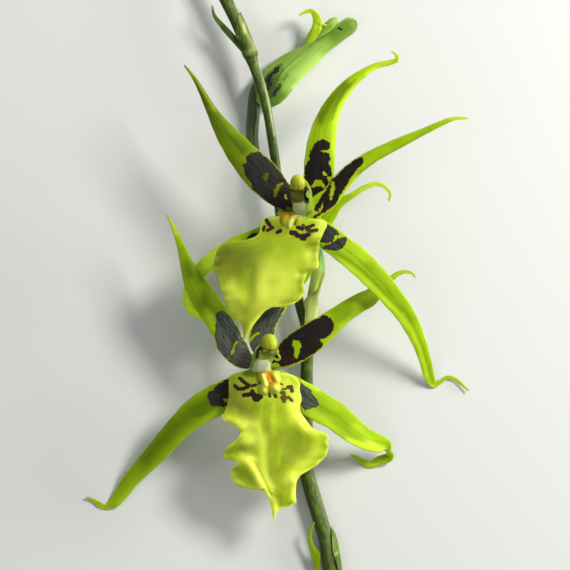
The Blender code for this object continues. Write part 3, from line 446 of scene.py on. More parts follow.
PIECES["lower_bloom_lip"] = dict(
    tone=0.98,
    ladder=(
        (-12.6, -35.4, -5.8, -35.4, 27.8, 0), (-20.8, -36, 3.6, -36.4, 27.9, 0.3),
        (-22.4, -40, 6, -40, 28, 0.8), (-22.4, -44, 6.4, -44.4, 28, 1.2),
        (-23.6, -48.8, 6, -48.4, 27.8, 1.6), (-25.4, -52.6, 6.8, -52.2, 27.5, 2),
        (-21.2, -56, 9.6, -55.6, 27.2, 2.2), (-18.2, -58.4, 14, -58.4, 26.8, 2.2),
        (-19.6, -61.6, 17.6, -61.6, 26.4, 2.2), (-22.8, -64.8, 17.4, -65.2, 26, 2.2),
        (-24, -68.2, 16, -68.8, 25.6, 2.2), (-20.6, -70.8, 13.2, -72, 25.2, 2.2),
        (-21.2, -74.4, 8.4, -74.8, 24.8, 2.2), (-19.4, -79, 4.8, -78.2, 24.2, 2),
        (-14, -81.6, 4.4, -82.2, 23.6, 1.8), (-8.2, -83, 4.4, -86.2, 22.8, 1.4),
        (-6, -87.4, 0.4, -88.8, 22, 0.8), (-4.8, -91.4, -3.4, -91.4, 21.2, 0.2),
        (-4.5, -94.2, -3.9, -94.2, 20.6, 0),
    ),
    left=(
        -12.2, -33, -13.8, -33.8, -16.6, -34.6, -20, -35.4, -21.8, -36.2, -22.5, -38.4, -22.5, -42, -22.5,
        -45, -23.2, -48, -24.4, -51.2, -25.6, -52.9, -24.4, -54.2, -22, -55.5, -19.6, -56.5, -18.3, -57.8,
        -18.1, -59.2, -18.7, -60.8, -20, -62.2, -22, -63.9, -23.7, -65.4, -24.5, -67.2, -24.2, -69.2,
        -22.6, -70.1, -20.4, -70.4, -19, -71.5, -20.4, -72.6, -21.6, -73.6, -21.8, -75.2, -21.4, -77.2,
        -20.4, -79.2, -18.6, -80.8, -16.2, -81.5, -13.6, -81.8, -10.6, -82.2, -8.4, -82.5, -7.3, -84,
        -6.3, -86.4, -5.4, -89.2, -4.9, -92, -4.6, -94.5,
    ),
    right=(
        -5.6, -33.9, -4.2, -34.7, -2, -35, 1, -35.4, 3.6, -36.3, 5.2, -37.8, 6, -39.6, 5.8, -41.8, 6.4,
        -44.2, 6.6, -46.2, 6, -48.2, 6.2, -50.8, 8, -53.4, 9.8, -56, 11.4, -57.6, 13.2, -58.3, 15.4,
        -58.8, 17, -60, 17.6, -61.4, 16.9, -62.6, 17.5, -64.4, 17, -66.8, 16, -69, 14, -70.9, 12.8, -72.2,
        10.8, -73.4, 8.4, -74.8, 6, -76.5, 4.8, -78.2, 4.4, -80.6, 4.4, -85.8, 4.6, -87, 3.2, -88.1, 1.4,
        -88.9, -0.6, -89.1, -2.4, -90, -3.4, -91.6, -3.9, -93.2, -4.2, -94.5,
    ),
    relief=(
        (3.4, 1.3, -19.4, -57.4, -19, -60.6), (3, 1.2, -20, -70.2, -18.8, -72.2),
        (2.4, -0.8, -23, -66.6, -18.6, -65.6),
        (2.6, 0.9, -15.2, -71.4, -12.6, -75.4, -9.8, -80.2, -7, -85),
        (0.7, -0.45, -12.4, -71.2, -10.2, -75.4, -7.8, -80.2, -5.6, -84.2), (4.4, -1.5, 2.4, -60, 4, -67),
        (2.8, 0.7, 0.6, -49, 4, -54, 10, -60), (3, -0.6, -18, -76.2, -15, -76.8),
        (1.4, -0.35, -1.6, -70, -2, -78, -2.6, -88), (1.3, 0.25, -5.4, -47, -5.6, -60, -4.8, -76),
        (1.3, -0.2, -8.8, -47, -9.2, -60), (2.8, -0.9, -18, -49.8, -13, -48.6),
        (2, 0.8, 3.6, -79, 3.2, -86), (2.6, 0.9, -4.6, -91, -4.4, -95),
    ),
    spots=(
        (0.6, 0, -18, -37.4, -16.4, -38.8, -14.4, -40.2),
        (0.6, 0, -20, -40.3, -18.8, -41.5, -16.8, -41.5, -14.8, -40.7),
        (0.5, 0, -13.1, -40.3, -11.7, -40), (0.7, 0, -16.4, -44, -13.6, -43.7, -11.6, -44.4, -9.6, -44.7),
        (1.3, 0, -11.6, -45, -11.2, -45), (0.75, 0, -13, -42.6, -12.6, -43.4),
        (0.28, 0.3, -9.8, -38.8, -9.7, -39.8), (0.35, 0.3, -8.1, -43.7, -7.8, -43.8),
        (0.45, 0.1, -6.5, -43.2, -6, -44.5), (0.55, 0, -4.3, -43.3, -3.7, -44.6),
        (0.33, 0.5, -2.3, -39.3, -1.1, -39.8), (0.33, 0.6, -1, -41.7, 0.2, -41.5, 1.2, -41),
        (0.62, 0.4, 1.2, -40.9, 2.4, -40.7, 2.8, -42.4),
        (0.55, 0.7, -1.5, -43.1, -0.5, -43, -0.4, -44.6, 0.6, -45.2), (0.6, 0.6, -1.2, -45, -0.3, -46.6),
        (0.5, 0.6, 1.4, -45, 2.8, -46.3),
    ),
    pale=(
        (3, 1, -15.6, -56.4, -13.6, -61), (1.8, 0.7, -16.2, -68.8, -12.6, -70.2),
        (1.5, 1, -13.9, -70, -12, -74, -9.8, -78.6, -7.5, -82.8, -4.8, -88.2),
        (1.2, 0.9, -4.8, -86.4, -4.4, -90.4),
        (1.9, 0.7, -11.4, -56, -8.8, -60, -8.8, -66, -8.2, -75, -5.8, -81),
        (1, 0.85, -19.4, -78.6, -15.6, -80.5, -11.6, -81.2, -8.4, -81.6),
        (1, 0.5, -21, -74.4, -20.2, -78), (1.3, 0.8, -5.6, -84, -5, -88, -4.4, -93),
        (2.4, 0.5, 12.6, -66, 8, -71.4, 1, -78), (1.6, 0.4, 1.8, -48, 2.4, -54),
        (1.8, 0.8, 4.6, -46, 5, -52, 8.4, -56.4), (1.3, 0.2, 9, -57, 15.2, -59.8),
        (1.5, 0.7, 3.4, -76, 3.4, -85.4), (2.4, 0.5, 0.6, -39, 3.6, -42.6),
        (1.4, 0.55, -22.8, -52.8, -19, -54.6),
    ),
    deep=(
        (3.4, 0.65, -1, -60, 1.8, -65, 1.4, -70), (4.6, 0.85, -21, -38, -20.8, -47, -15, -51),
        (1.8, 0.4, -4.4, -62, -4, -72, -5.4, -78),
        (0.35, 0.8, -12.6, -71.2, -10.4, -75.4, -8, -80.2, -5.8, -84.2),
        (1.4, 0.6, -15.4, -35, -12.6, -33.8), (1.8, 0.7, -23.4, -67, -17, -65.4, -13.4, -64.4),
        (2, 0.35, -17, -75.6, -14, -77), (1.2, 0.5, -2.6, -74, -3.4, -80, -3.4, -84.5),
        (3, 0.5, -12, -37.4, -13.4, -39.6),
    ),
)
PIECES["lower_bloom_callus"] = dict(
    tone=0.88, place=(-6.4, -34.4, -44.2, 4.6, 0),
    relief=(
        (0.95, 1.6, -9.4, -35.2, -8.6, -37.4, -7.8, -39.6), (1.5, 1.5, -8.9, -40.8, -8.7, -42.2),
        (1.3, 1.9, -4, -36.2, -3.3, -37.6), (1.5, 1.6, -4.4, -40.8, -3.4, -41.6),
        (0.45, -0.7, -6.4, -39.6, -6.4, -43.8), (0.5, 0.5, -6.6, -37, -6, -38.6),
    ),
    spots=((0.32, 0.2, -10.1, -38.6, -9.7, -39.6),),
    orange=(
        (1.3, 1, -7, -35.4, -5.9, -37.4, -5.5, -39), (0.7, 0.8, -11.4, -34.9, -6, -34.9),
        (0.8, 0.9, -6, -35.4, -4.6, -37.6, -4.4, -39.2), (0.5, 0.6, -5.2, -39.4, -3.4, -39.5),
    ),
    ridge=(
        (0.9, 0.8, -9.2, -35.4, -8.4, -37.6, -7.8, -39.6), (1.4, 0.55, -8.9, -40.8, -8.7, -42.2),
        (1.3, 0.9, -4, -36.4, -3.4, -37.8), (1.4, 0.6, -4.6, -41, -3.4, -41.6),
    ),
)
PIECES["lower_bloom_column"] = dict(
    line=(
        (-9.9, -32.3, 28.5, 2.5, 4), (-9.8, -32.1, 30.1, 2.9, 4.1), (-9.3, -30.3, 32.3, 3, 3.9),
        (-8, -27.6, 34.4, 2.9, 3.9), (-6.8, -25.1, 35.7, 2.4, 3.3),
    ),
    wings=(
        (
            (-3, -25.6, 35.4, 0.2, 0), (-2.8, -26.6, 35.6, 0.3, 0.1), (-2.9, -27.6, 35.4, 0.3, 0.1),
            (-2.3, -28.4, 35.2, 0.35, 0.1), (-2.1, -29.2, 35, 0.35, 0.1), (-2.9, -29.9, 34.6, 0.4, 0.1),
            (-3.8, -29.6, 34.4, 0.4, 0.1), (-4.4, -28.9, 34.2, 0.3, 0),
        ),
        (
            (-9.4, -23.6, 35.6, 0.4, 0), (-10.4, -24.6, 35.6, 0.5, 0.1), (-11.6, -26.4, 35, 0.45, 0.1),
            (-12.4, -27.8, 34.2, 0.45, 0.1), (-13, -29.4, 33.2, 0.4, 0),
        ),
        (
            (-10, -26, 36.2, 0.2, 0), (-9.9, -26.9, 36.2, 0.25, 0.1), (-10.6, -27.6, 36, 0.25, 0.1),
            (-11, -28.2, 35.6, 0.3, 0.1), (-12.2, -29, 34.6, 0.4, 0.1), (-12.5, -29.8, 34, 0.2, 0),
        ),
    ),
    hollows=((1.3, 1.2, -8.8, -28, -5.2, -27.8), (0.5, 0.8, -11, -27.4, -11, -28.9)),
    white=(
        (1.8, 0.9, -9.4, -34.2, -7.5, -34.2), (1.8, 0.9, -9, -31.7, -7.5, -31.7),
        (1.8, 0.55, -11.4, -34.2, -10.4, -31.6),
    ),
    olive=((1.7, 1, -8.8, -27.9, -4.6, -27.7), (1.7, 1, -8, -26.2, -4.8, -26.2)),
    dark=(
        (0.6, 1, -10.8, -26, -11.3, -28.9), (0.8, 1, -10.4, -25.4, -8.8, -25.2),
        (0.5, 0.8, -6.8, -26.4, -6.2, -26.5), (0.4, 0.35, -7.4, -28.4, -5, -28),
        (0.5, 0.8, -3.6, -26.4, -3.8, -27.4),
    ),
)
PIECES["lower_bloom_anther_cap"] = dict(
    centre=(-6.4, -23.1, 36.2), half_sizes=(3.35, 3.7, 2.6), pale=((1.3, 0.25, -4.8, -20.6, -4, -23.4),),
    deep=((1.1, 0.5, -8.8, -22.4, -8, -24.6),),
)
PIECES["lower_bloom_pedicel"] = dict(
    line=(
        (5.1, -63.2, 7.1, 1.8), (1, -56, 10, 2.1), (-3.5, -47, 14.2, 2.5), (-8, -38.6, 18.6, 2.8),
        (-9.2, -33.4, 22, 2.5), (-9.2, -32.4, 24.4, 2.3), (-9.2, -32.4, 27.9, 2.3),
    ),
)
PIECES["upper_bloom_dorsal_sepal"] = dict(
    direction=62, tone=0.86, fold=(0.25, 1, 0.72, -0.1, -0.75),
    line=(
        (10.6, 38.6, 36.3, 4, 0.3), (13.2, 44, 36.4, 5.9, 0.8), (14, 52, 36.6, 5.9, 1.2),
        (14.8, 58, 36.8, 5.5, 1.2), (16.8, 66, 37, 4.4, 1), (19, 71, 37, 3.7, 0.8),
        (22.6, 76.4, 36.8, 3, 0.7), (26.6, 80.8, 36.4, 2.4, 0.6), (31.2, 84.4, 35.8, 1.7, 0.4),
        (37, 87.6, 35.2, 1.2, 0.3), (42, 88.8, 35, 1, 0.2), (44.6, 89.8, 35.4, 0.8, 0.1),
        (44.4, 91.6, 36.2, 0.6, 0), (42.4, 93.2, 37, 0.35, 0),
    ),
    blotches=(
        (
            11.2, 55.2, 12, 56.8, 13.8, 57.7, 15.8, 57.8, 17.4, 57, 17.8, 55.4, 17.5, 54, 15.4, 53.7,
            14.2, 53.5, 15, 53, 17, 52.8, 17.9, 51, 18, 49.8, 17.3, 48.9, 18.2, 47.2, 18.7, 45, 18.3,
            43.4, 17.2, 43.4, 16.2, 44.7, 15, 45.2, 15.6, 44, 17, 42.4, 17.4, 40.8, 16.6, 39.2, 15.8,
            39.4, 14.8, 41.1, 13.6, 41.9, 12.4, 41.8, 11.2, 40.4, 9.8, 38.9, 8.4, 40.2, 7.5, 43.6, 7.7,
            46, 8.4, 48.2, 9.6, 49.9, 9.9, 50.6, 9.6, 51.6, 10.1, 53.4,
        ),
        (
            9.8, 38.4, 11.8, 39.1, 14, 39.5, 15.2, 38.4, 14.8, 37, 13.9, 35.5, 12.9, 34.9, 12.1, 35.6,
            11.3, 34.6, 10.4, 34.4, 9.4, 36.4,
        ),
    ),
    pale=(
        (1.3, 0.5, 19.6, 46, 19.8, 56, 20.2, 64),
        (1.2, 0.8, 20.4, 65, 22.6, 71.5, 26.2, 77, 31.4, 81.8, 36, 85.6),
        (1.4, 0.6, 33, 84.6, 37, 87, 43.6, 88.6), (0.9, 0.4, 7.8, 48, 9.2, 58, 12.4, 66),
    ),
    deep=((2.4, 0.95, 14, 66, 18.6, 73, 24, 79.4), (0.5, 0.6, 18.6, 66, 20.6, 72, 24, 77.8, 28, 81.8)),
)
PIECES["upper_bloom_left_sepal"] = dict(
    direction=214, tone=1.3, grey=0.3,
    line=(
        (2.4, 28.6, 36.4, 3.2, 0.2), (-3, 23.6, 36, 3.4, 0.3), (-10.8, 18.4, 35, 4.2, 0.7),
        (-18, 15.6, 32.8, 4.4, 0.8), (-24.8, 12.4, 29.2, 3.7, 0.8), (-32, 7.5, 25, 3.1, 0.7),
        (-36.2, 2.8, 21.4, 2.8, 0.6), (-37.8, -1.8, 18.6, 2.9, 0.4), (-37.9, -6.2, 16.6, 3.1, 0.3),
        (-36.9, -9.4, 15.6, 2.8, 0.2), (-34.4, -11.9, 15.4, 1.7, 0.1), (-31.6, -14, 15.8, 0.35, 0),
    ),
    blotches=(
        (-15.6, 18, -14.2, 19.8, -12.4, 20.6, -8, 21.4, -3, 22, -2.6, 16, -8, 13, -13, 13.4, -15.4, 15.4),
    ),
    pale=(
        (3, 1, -34.6, 5.6, -29, 9.4, -20, 15.4), (1.5, 0.8, -40.2, -3, -39, -9.6, -33, -13),
        (0.6, 0.8, -37.4, -2, -34.6, -6.6, -32, -12),
    ),
    deep=((2.4, 0.9, 2, 29.6, -4, 25.6), (3, 0.7, -9, 21, -20, 17.4)),
)
PIECES["upper_bloom_right_sepal"] = dict(
    direction=318, tone=0.87, grey=0.4, fold=(0.12, 0.9, 0.6, -0.05, 0.45),
    line=(
        (13, 23.4, 36.1, 3.6, 0.3), (17.6, 18.8, 35.8, 5, 0.7), (22.4, 14.8, 35.4, 5, 0.9),
        (27.2, 11.2, 34.6, 5.2, 1), (31.8, 7, 33.4, 5.1, 1.1), (36.8, 2, 31.4, 4.9, 1.1),
        (42.2, -4.2, 28, 4.4, 1), (47.4, -10.6, 23.6, 3.9, 0.9), (51.2, -17, 18.6, 3.4, 0.8),
        (54.2, -23.6, 13.2, 2.8, 0.7), (56.6, -30.8, 7.4, 2.4, 0.5), (58.4, -37, 2.6, 2.1, 0.3),
        (60.2, -40.2, 0.6, 1.3, 0), (63, -39, 0.5, 0.8, 0), (65.6, -37.3, 0.7, 0.75, 0),
        (68.6, -38, 1, 0.7, 0), (71.4, -40.2, 1.4, 0.55, 0), (74.2, -42.8, 1.8, 0.35, 0),
    ),
    blotches=(
        (
            16.4, 24.2, 18.8, 23, 20.6, 21.8, 21.8, 20.6, 21.4, 19.9, 20, 19.6, 19.5, 18.5, 19, 17.5, 18,
            16.9, 14.8, 16.9, 13, 17.6, 12.6, 20.4, 13.4, 23,
        ),
        (
            19.2, 17.2, 20.4, 18.1, 22, 18.8, 23.8, 19.1, 25, 18.4, 24.3, 16.8, 23.3, 15.3, 22, 14, 20,
            13.7, 17.2, 13.9, 15.2, 14.3, 14.6, 15.2, 16.4, 16.1, 18, 16.5,
        ),
    ),
    pale=(
        (1.2, 0.4, 15.2, 12.8, 22, 9.6, 30, 3.6, 38, -4.4, 46, -11.8, 51, -19, 54.4, -27, 57, -36),
        (1.5, 0.15, 24, 16.6, 32, 10),
    ),
    deep=((2.6, 0.4, 33, 8, 44, -4, 50, -13), (0.7, 0.5, 20, 13, 30, 6.6, 38.4, -1.6, 46.6, -10.4)),
)
PIECES["upper_bloom_left_petal"] = dict(
    direction=146, tone=0.45, grey=0.22, fold=(0.4, 1, -0.3, 0, -0.2),
    line=(
        (2.4, 33.4, 38, 4.4, 0.3), (0.4, 34.6, 38, 5.2, 0.3), (-1.4, 35.8, 38, 5.5, 0.3),
        (-9, 43.4, 38.2, 6.8, 1), (-15.2, 49.8, 38.4, 6, 1.2), (-19.6, 55.2, 38.5, 5.2, 1.1),
        (-24.4, 61.6, 38.5, 3.8, 0.9), (-29.3, 69.6, 38.4, 2.1, 0.6), (-32.8, 76.4, 38.2, 1.3, 0.4),
        (-35.9, 82, 38, 0.8, 0.2), (-40.3, 87.8, 37.8, 0.35, 0),
    ),
    blotches=(
        (
            -15.2, 51.6, -12.8, 52.7, -9.6, 53, -6, 49.9, -2.4, 46.8, -0.2, 43.9, 1.7, 40.6, 2.6, 36, 3.4,
            31.6, 2, 29, -2, 29.4, -6, 31.8, -9.2, 34.4, -12, 36.4, -13.2, 38.8, -13.6, 40.8, -15.2, 42.8,
            -16.8, 46.8, -16.6, 48.2, -15.4, 49,
        ),
    ),
    windows=(
        (-8.8, 43, -7.8, 44.3, -6.6, 44.1, -6.8, 42.6, -7.8, 41.9),
        (-0.6, 40.5, -1.8, 39.2, -2.6, 37.6, -3.7, 35.1, -4.5, 35.6, -4.3, 37.4, -3.5, 39.3, -2.3, 40.4),
        (0.4, 30.9, 2, 30.8, 3.4, 29.6, 2, 28.8),
    ),
    pale=((0.6, 0.5, -38, 86.4, -33.6, 78.8, -28, 69.4),),
    deep=(
        (2.4, 0.9, -17, 54, -24, 60.6, -29, 68), (1.4, 0.4, -17, 44, -22, 52),
        (1.6, 1.2, -8.2, 43.2, -7, 43.2), (2.2, 1, -31, 72, -36, 81),
    ),
)
PIECES["upper_bloom_right_petal"] = dict(
    direction=10, tone=0.85, fold=(0.3, 0.95, 0.3, 0, -0.25),
    line=(
        (10, 29.2, 38, 3.6, 0.2), (12.8, 31.2, 38, 4.1, 0.2), (18, 35.2, 38.1, 3.8, 0.5),
        (22.2, 40.6, 38.3, 3.7, 0.6), (27.4, 46, 38.6, 3.2, 0.6), (32.2, 49.6, 38.9, 2.8, 0.6),
        (39, 53.4, 39.3, 2.4, 0.5), (46.8, 57.2, 39.8, 2, 0.4), (54.6, 60.8, 40.3, 1.4, 0.3),
        (62.4, 64.4, 40.6, 1.1, 0.2), (67.2, 66.2, 40.8, 0.8, 0.1), (73.2, 66.4, 41, 0.35, 0),
    ),
    blotches=(
        (
            30, 50.8, 31.2, 50.6, 31.6, 49.6, 30.6, 47.8, 28.8, 46.2, 27.2, 44, 24.8, 40.2, 22.6, 36.6,
            21.4, 34.8, 21.2, 32.8, 18.8, 30.8, 16, 29, 13.6, 27.4, 11.6, 26.3, 11.3, 27.5, 13.2, 28.5,
            14.3, 29.7, 12.4, 29.2, 11.5, 30.4, 12.6, 32.6, 14.4, 35.4, 16.8, 38.6, 18.8, 42, 20.4, 43.8,
            22.6, 46, 25, 48.2, 27.6, 50,
        ),
    ),
    windows=(
        (18.9, 41.4, 19.6, 40.8, 19.7, 38.4, 19.2, 35.8, 18.4, 33.9, 17.8, 34.3, 18.1, 37, 18.4, 39.6),
        (15, 32.6, 14.9, 30.4, 14, 29.2, 13.2, 29.5, 14.2, 30.8),
    ),
    pale=((0.9, 0.8, 66, 66.4, 73.2, 66.4), (0.7, 0.5, 22, 34, 28, 42.6)),
    deep=((1.2, 0.6, 30, 45, 45, 53.4, 58, 60.8),),
)
PIECES["upper_bloom_lip"] = dict(
    tone=0.82,
    ladder=(
        (2.8, 28.2, 9.6, 28.2, 39.8, 0), (-6.6, 27.2, 15.8, 26.4, 39.9, 0.3),
        (-10, 22.4, 16, 22, 40, 0.8), (-14.4, 18.4, 14, 16.8, 39.9, 1.2),
        (-24.8, 16.2, 13.6, 12.4, 39.5, 1.6), (-27.8, 9.8, 13.2, 8, 39, 2),
        (-28.2, 5.6, 7, 5.4, 38.4, 2.2), (-26.4, 2.2, 5.8, 2.6, 37.9, 2.2),
        (-25.6, -2, 7.6, -1.6, 37.3, 2.2), (-24.6, -5.6, 6.8, -5.2, 36.6, 2.2),
        (-23.2, -9.6, -1.2, -8.4, 35.6, 2), (-20.4, -13.2, -7.8, -10.6, 34.6, 1.4),
        (-17.4, -16.2, -12, -15.6, 33.6, 0.8), (-16.7, -20, -15.1, -20, 32.8, 0.2),
        (-16.9, -22.4, -16.3, -22.4, 32.2, 0),
    ),
    left=(
        2.2, 28.6, 0.6, 27.8, -3, 27.4, -6.6, 27.1, -8.8, 26, -9.9, 23.8, -10.2, 21.2, -11.4, 19.6, -14.4,
        18.3, -17.6, 17.6, -21.6, 17.5, -23.6, 17.1, -25.4, 15.8, -26.9, 13.8, -27.7, 11.6, -28.3, 8.8,
        -28.6, 6.8, -28, 5, -26.6, 3.9, -26.4, 2, -25.8, -1.2, -24.6, -4.8, -23.4, -9.2, -21.4, -12.2,
        -18.8, -14.8, -17.2, -16.2, -16.8, -18.2, -16.6, -20.4, -16.9, -22.5,
    ),
    right=(
        8, 28.6, 8.6, 27.4, 9.8, 26.5, 12.2, 26.2, 14.6, 26, 16.4, 25.2, 16.7, 23.8, 15.8, 21.8, 14.8,
        19.6, 13.9, 17.4, 13.6, 15, 13.2, 12.4, 13.3, 10, 13.6, 8, 12.8, 6.4, 11, 5.8, 9.4, 5.6, 8.7, 4.4,
        8, 2.6, 7.4, 0.8, 7.8, -1.6, 7.3, -3.8, 6.2, -5.6, 4, -7.1, 1.8, -8.1, -1, -8.6, -4.6, -8.8, -7.4,
        -10, -10.4, -13.2, -12.8, -16.2, -14, -18.4, -15.2, -20.6, -16.3, -22.5,
    ),
    relief=(
        (7, -1.5, -20.4, 11, -17, 7), (4, 0.9, -22.6, -1, -19.4, -5.6),
        (2.4, -0.5, -19.6, -8, -18.2, -12), (2.2, -0.5, -13.4, 6, -14.2, -6),
        (2.2, 0.8, 13, 11.6, 12.4, 7.6), (1.6, 0.7, 7.2, 1.4, 7.6, -2), (1.6, -0.7, 8.6, 4.6, 6, 4.6),
        (1.8, 0.8, -13.4, -16.6, -9.6, -11, -4, -8.2), (2.4, -0.6, 12.6, 17, 9.4, 15.4),
    ),
    spots=(
        (0.62, 0, -7.3, 25.7, -6.1, 23.9), (0.5, 0.1, -8.2, 23.2, -8.6, 21.8),
        (0.55, 0.1, -7, 21.7, -4.9, 22.8), (0.4, 0, -6.1, 24, -5.2, 22.9),
        (0.6, 0, -3.1, 20.9, -1.8, 21.6), (0.7, 0, 5.2, 22.9, 6.8, 22.4),
        (0.33, 0.2, 6.9, 23.9, 7.7, 23.6), (0.5, 0, 8.3, 22.7, 9.6, 23.2, 11.3, 23.8),
        (0.6, 0.2, 8.8, 22.1, 10.4, 21.4, 12.6, 21.9), (0.8, 0, 2.6, 20.8, 4, 20.7, 4.9, 19.7),
        (0.7, 0, 5.6, 19.5, 7.2, 19.5, 9.3, 20), (0.85, 0, 6.9, 18.7, 7.5, 18.6),
    ),
    pale=(
        (5, 0.7, -6, 6, 2, 3, -3, -3), (2.6, 0.5, -10, -1, -11.6, -10), (3, 0.6, -22, -1.6, -19, -5),
        (2.2, 0.5, -20.6, -6, -17.6, -12), (1.6, 0.7, -14, -17.6, -10, -11.6, -5, -8.8),
        (2.6, 0.55, -8.6, 3, -7.6, -7), (1.6, 0.6, -23, -5.4, -22, -9.4), (2.2, 0.6, 9.6, 12, 11, 8),
        (2, 0.6, 14.4, 24, 13, 20),
    ),
    deep=(
        (6.5, 0.8, -22, 12.6, -20, 7), (4, 0.3, -14, 13, -8, 15), (2.2, 0.4, 3, 1, 6, 3.4),
        (1.8, 0.5, -2.4, -6.6, 2, -6.6), (2.6, 0.5, -26.6, 9, -24.6, 13),
        (1.6, 0.2, -13.6, 4, -14, -4, -15.4, -11), (1.6, 0.3, -16, -15, -16.4, -19),
        (3, 0.5, -6, 24, -1, 22.6), (3, 0.45, 9, 19, 11.4, 15),
    ),
)
PIECES["upper_bloom_callus"] = dict(
    tone=0.72, place=(2.2, 29, 22.4, 5, 0.7),
    relief=(
        (0.8, 1, 6.2, 27.6, 4.6, 27.9, 2.8, 26.9, 1.8, 24.9, 1.6, 22.8), (1.4, 0.5, 0, 27.4, -0.6, 25.6),
        (0.7, -0.4, 4.2, 26, 3.6, 24),
    ),
    spots=((0.32, 0.3, 4.4, 25.4, 3.9, 24.2),),
    orange=((1.2, 0.7, 0.4, 28, 2, 27.6), (1.2, 0.3, -0.6, 27, 0.2, 25.6)),
    ridge=((0.9, 1, 6.4, 27.3, 4.4, 27.9, 2.7, 26.6, 1.8, 24.8, 1.6, 23),),
    deep=(
        (1.6, 0.45, 6.4, 25.6, 5, 23.6), (1.6, 0.5, -0.8, 27, -1.6, 24.6), (1, 0.3, 3.6, 25.6, 3.2, 23.4),
    ),
)
PIECES["upper_bloom_column"] = dict(
    line=(
        (8.4, 28, 38.4, 1.9, 2.6), (7.6, 29.6, 39.6, 2.4, 3.4), (6.9, 31.2, 41, 2.7, 3.9),
        (7, 31.4, 42.1, 3, 3.9), (6.8, 33.3, 44.4, 3.1, 3.8), (5.8, 36, 46.4, 2.9, 4.2),
        (5.1, 38.8, 47.7, 2.4, 3.3),
    ),
    wings=(
        (
            (7.4, 42.2, 47, 0.3, 0), (8.7, 40.2, 47.2, 0.4, 0.1), (9.9, 37.6, 46.8, 0.45, 0.1),
            (10.3, 34.8, 45.8, 0.5, 0.1), (10.6, 31.6, 44, 0.55, 0.1), (10.7, 27.4, 42, 0.4, 0),
        ),
        (
            (9, 37.2, 49.2, 0.2, 0), (8.7, 36.2, 49.1, 0.35, 0.1), (8.9, 35.2, 48.8, 0.35, 0.1),
            (9.3, 34.8, 48.4, 0.2, 0),
        ),
        (
            (0.3, 36, 47.2, 0.15, 0), (0.1, 35.3, 47, 0.3, 0.1), (0.3, 34.6, 46.6, 0.4, 0.1),
            (0.9, 34.2, 46.2, 0.25, 0),
        ),
    ),
    hollows=((1.4, 1.2, 3.6, 36.4, 6, 36.4), (0.55, 1, 8, 37.6, 8.4, 33.4)),
    white=((2.4, 0.42, 4.6, 28.6, 6.2, 28.6), (2.2, 0.45, 4.8, 31, 6, 31)),
    olive=((2.2, 1, 2.8, 36.6, 6, 36.6), (1.9, 1, 3.6, 34.4, 5.8, 34.4)),
    dark=(
        (0.9, 0.75, 1.4, 38, 1.8, 34), (1.1, 1, 8.3, 38, 8.5, 33.4), (0.6, 0.8, 3.2, 38.2, 6, 38),
        (2.6, 0.55, 3, 36, 5.4, 35.6),
    ),
)
PIECES["upper_bloom_anther_cap"] = dict(
    centre=(5, 40.3, 48.2), half_sizes=(2.95, 3.6, 2.5), pale=((1, 0.2, 3.4, 43.4, 6.4, 43.2, 7.2, 41),),
    deep=((1.2, 0.4, 3.2, 40, 5, 38.6), (1.6, 0.5, 3.2, 39.2, 6.8, 38.8)),
)
PIECES["upper_bloom_pedicel"] = dict(
    line=(
        (11.4, -14.2, 9.2, 1.9), (11, -6, 10.8, 2.2), (12.6, 2, 13, 2.5), (13.4, 8.6, 15.4, 2.7),
        (11.8, 16.4, 19.4, 2.8), (8.6, 24.6, 26, 2.8), (6.6, 30, 32.6, 2.5), (6.2, 31.2, 36.4, 2.3),
        (6.2, 31.2, 39.9, 2.3),
    ),
    pale=((2.4, 1, 12, 6, 12.4, -6, 12, -14),),
)

# The bud's body: x, y, z, half width across, half height
BUD_SHAPE = (
    (-10.6, 73.6, 3.7, 3, 2.8), (-8.2, 75.8, 4.2, 5.4, 3.5), (-6, 78.2, 4.5, 6.7, 3.9),
    (-3.8, 81.3, 4.8, 7.2, 4.2), (-0.3, 85, 4.9, 6.7, 4.3), (4.4, 88.9, 5.1, 6, 4.4),
    (9.3, 92.3, 5.3, 5, 4.2), (13.8, 96.2, 5.5, 4.4, 4), (18.8, 99.5, 5.5, 3.7, 3.7),
    (23, 102.4, 5.6, 3.6, 3.4), (26.6, 105, 5.7, 3.5, 3), (28.6, 106.4, 5.8, 3.2, 2.6),
)


def unit(vectors):
    """Vectors of length one."""
    return vectors / np.maximum(np.linalg.norm(vectors, axis=-1, keepdims=True), TINY)


def smooth(stations, spacing, least=12):
    """Evenly spaced stations, about spacing apart, on the smooth curve through the given ones."""
    stations = np.array(stations, float)
    spans = np.linalg.norm(np.diff(stations[:, :3], axis=0), axis=1)
    slopes = np.diff(stations, axis=0) / spans[:, None]
    between = ((slopes[:-1] * spans[1:, None] + slopes[1:] * spans[:-1, None])
               / (spans[:-1] + spans[1:])[:, None])
    slopes = np.concatenate((slopes[:1], between, slopes[-1:]))
    starts = np.concatenate(((0.0,), np.cumsum(spans)))
    count = max(round(starts[-1] / spacing), least)
    reach = np.linspace(0.0, starts[-1], count + 1)
    span = np.clip(np.searchsorted(starts, reach, side="right") - 1, 0, len(spans) - 1)
    length = spans[span][:, None]
    share = (reach[:, None] - starts[span][:, None]) / length
    square = share * share
    cube = square * share
    return (stations[span] * (2 * cube - 3 * square + 1)
            + slopes[span] * (cube - 2 * square + share) * length
            + stations[span + 1] * (3 * square - 2 * cube)
            + slopes[span + 1] * (cube - square) * length)


def frame_along(middle, reference=UP):
    """Unit directions of a chain of points, unit directions across it, and its length so far."""
    ahead = np.concatenate((middle[1:], middle[-1:]))
    behind = np.concatenate((middle[:1], middle[:-1]))
    along = unit(ahead - behind)
    steps = np.linalg.norm(np.diff(middle, axis=0), axis=1)
    return along, unit(np.cross(along, reference)), np.concatenate(((0.0,), np.cumsum(steps)))


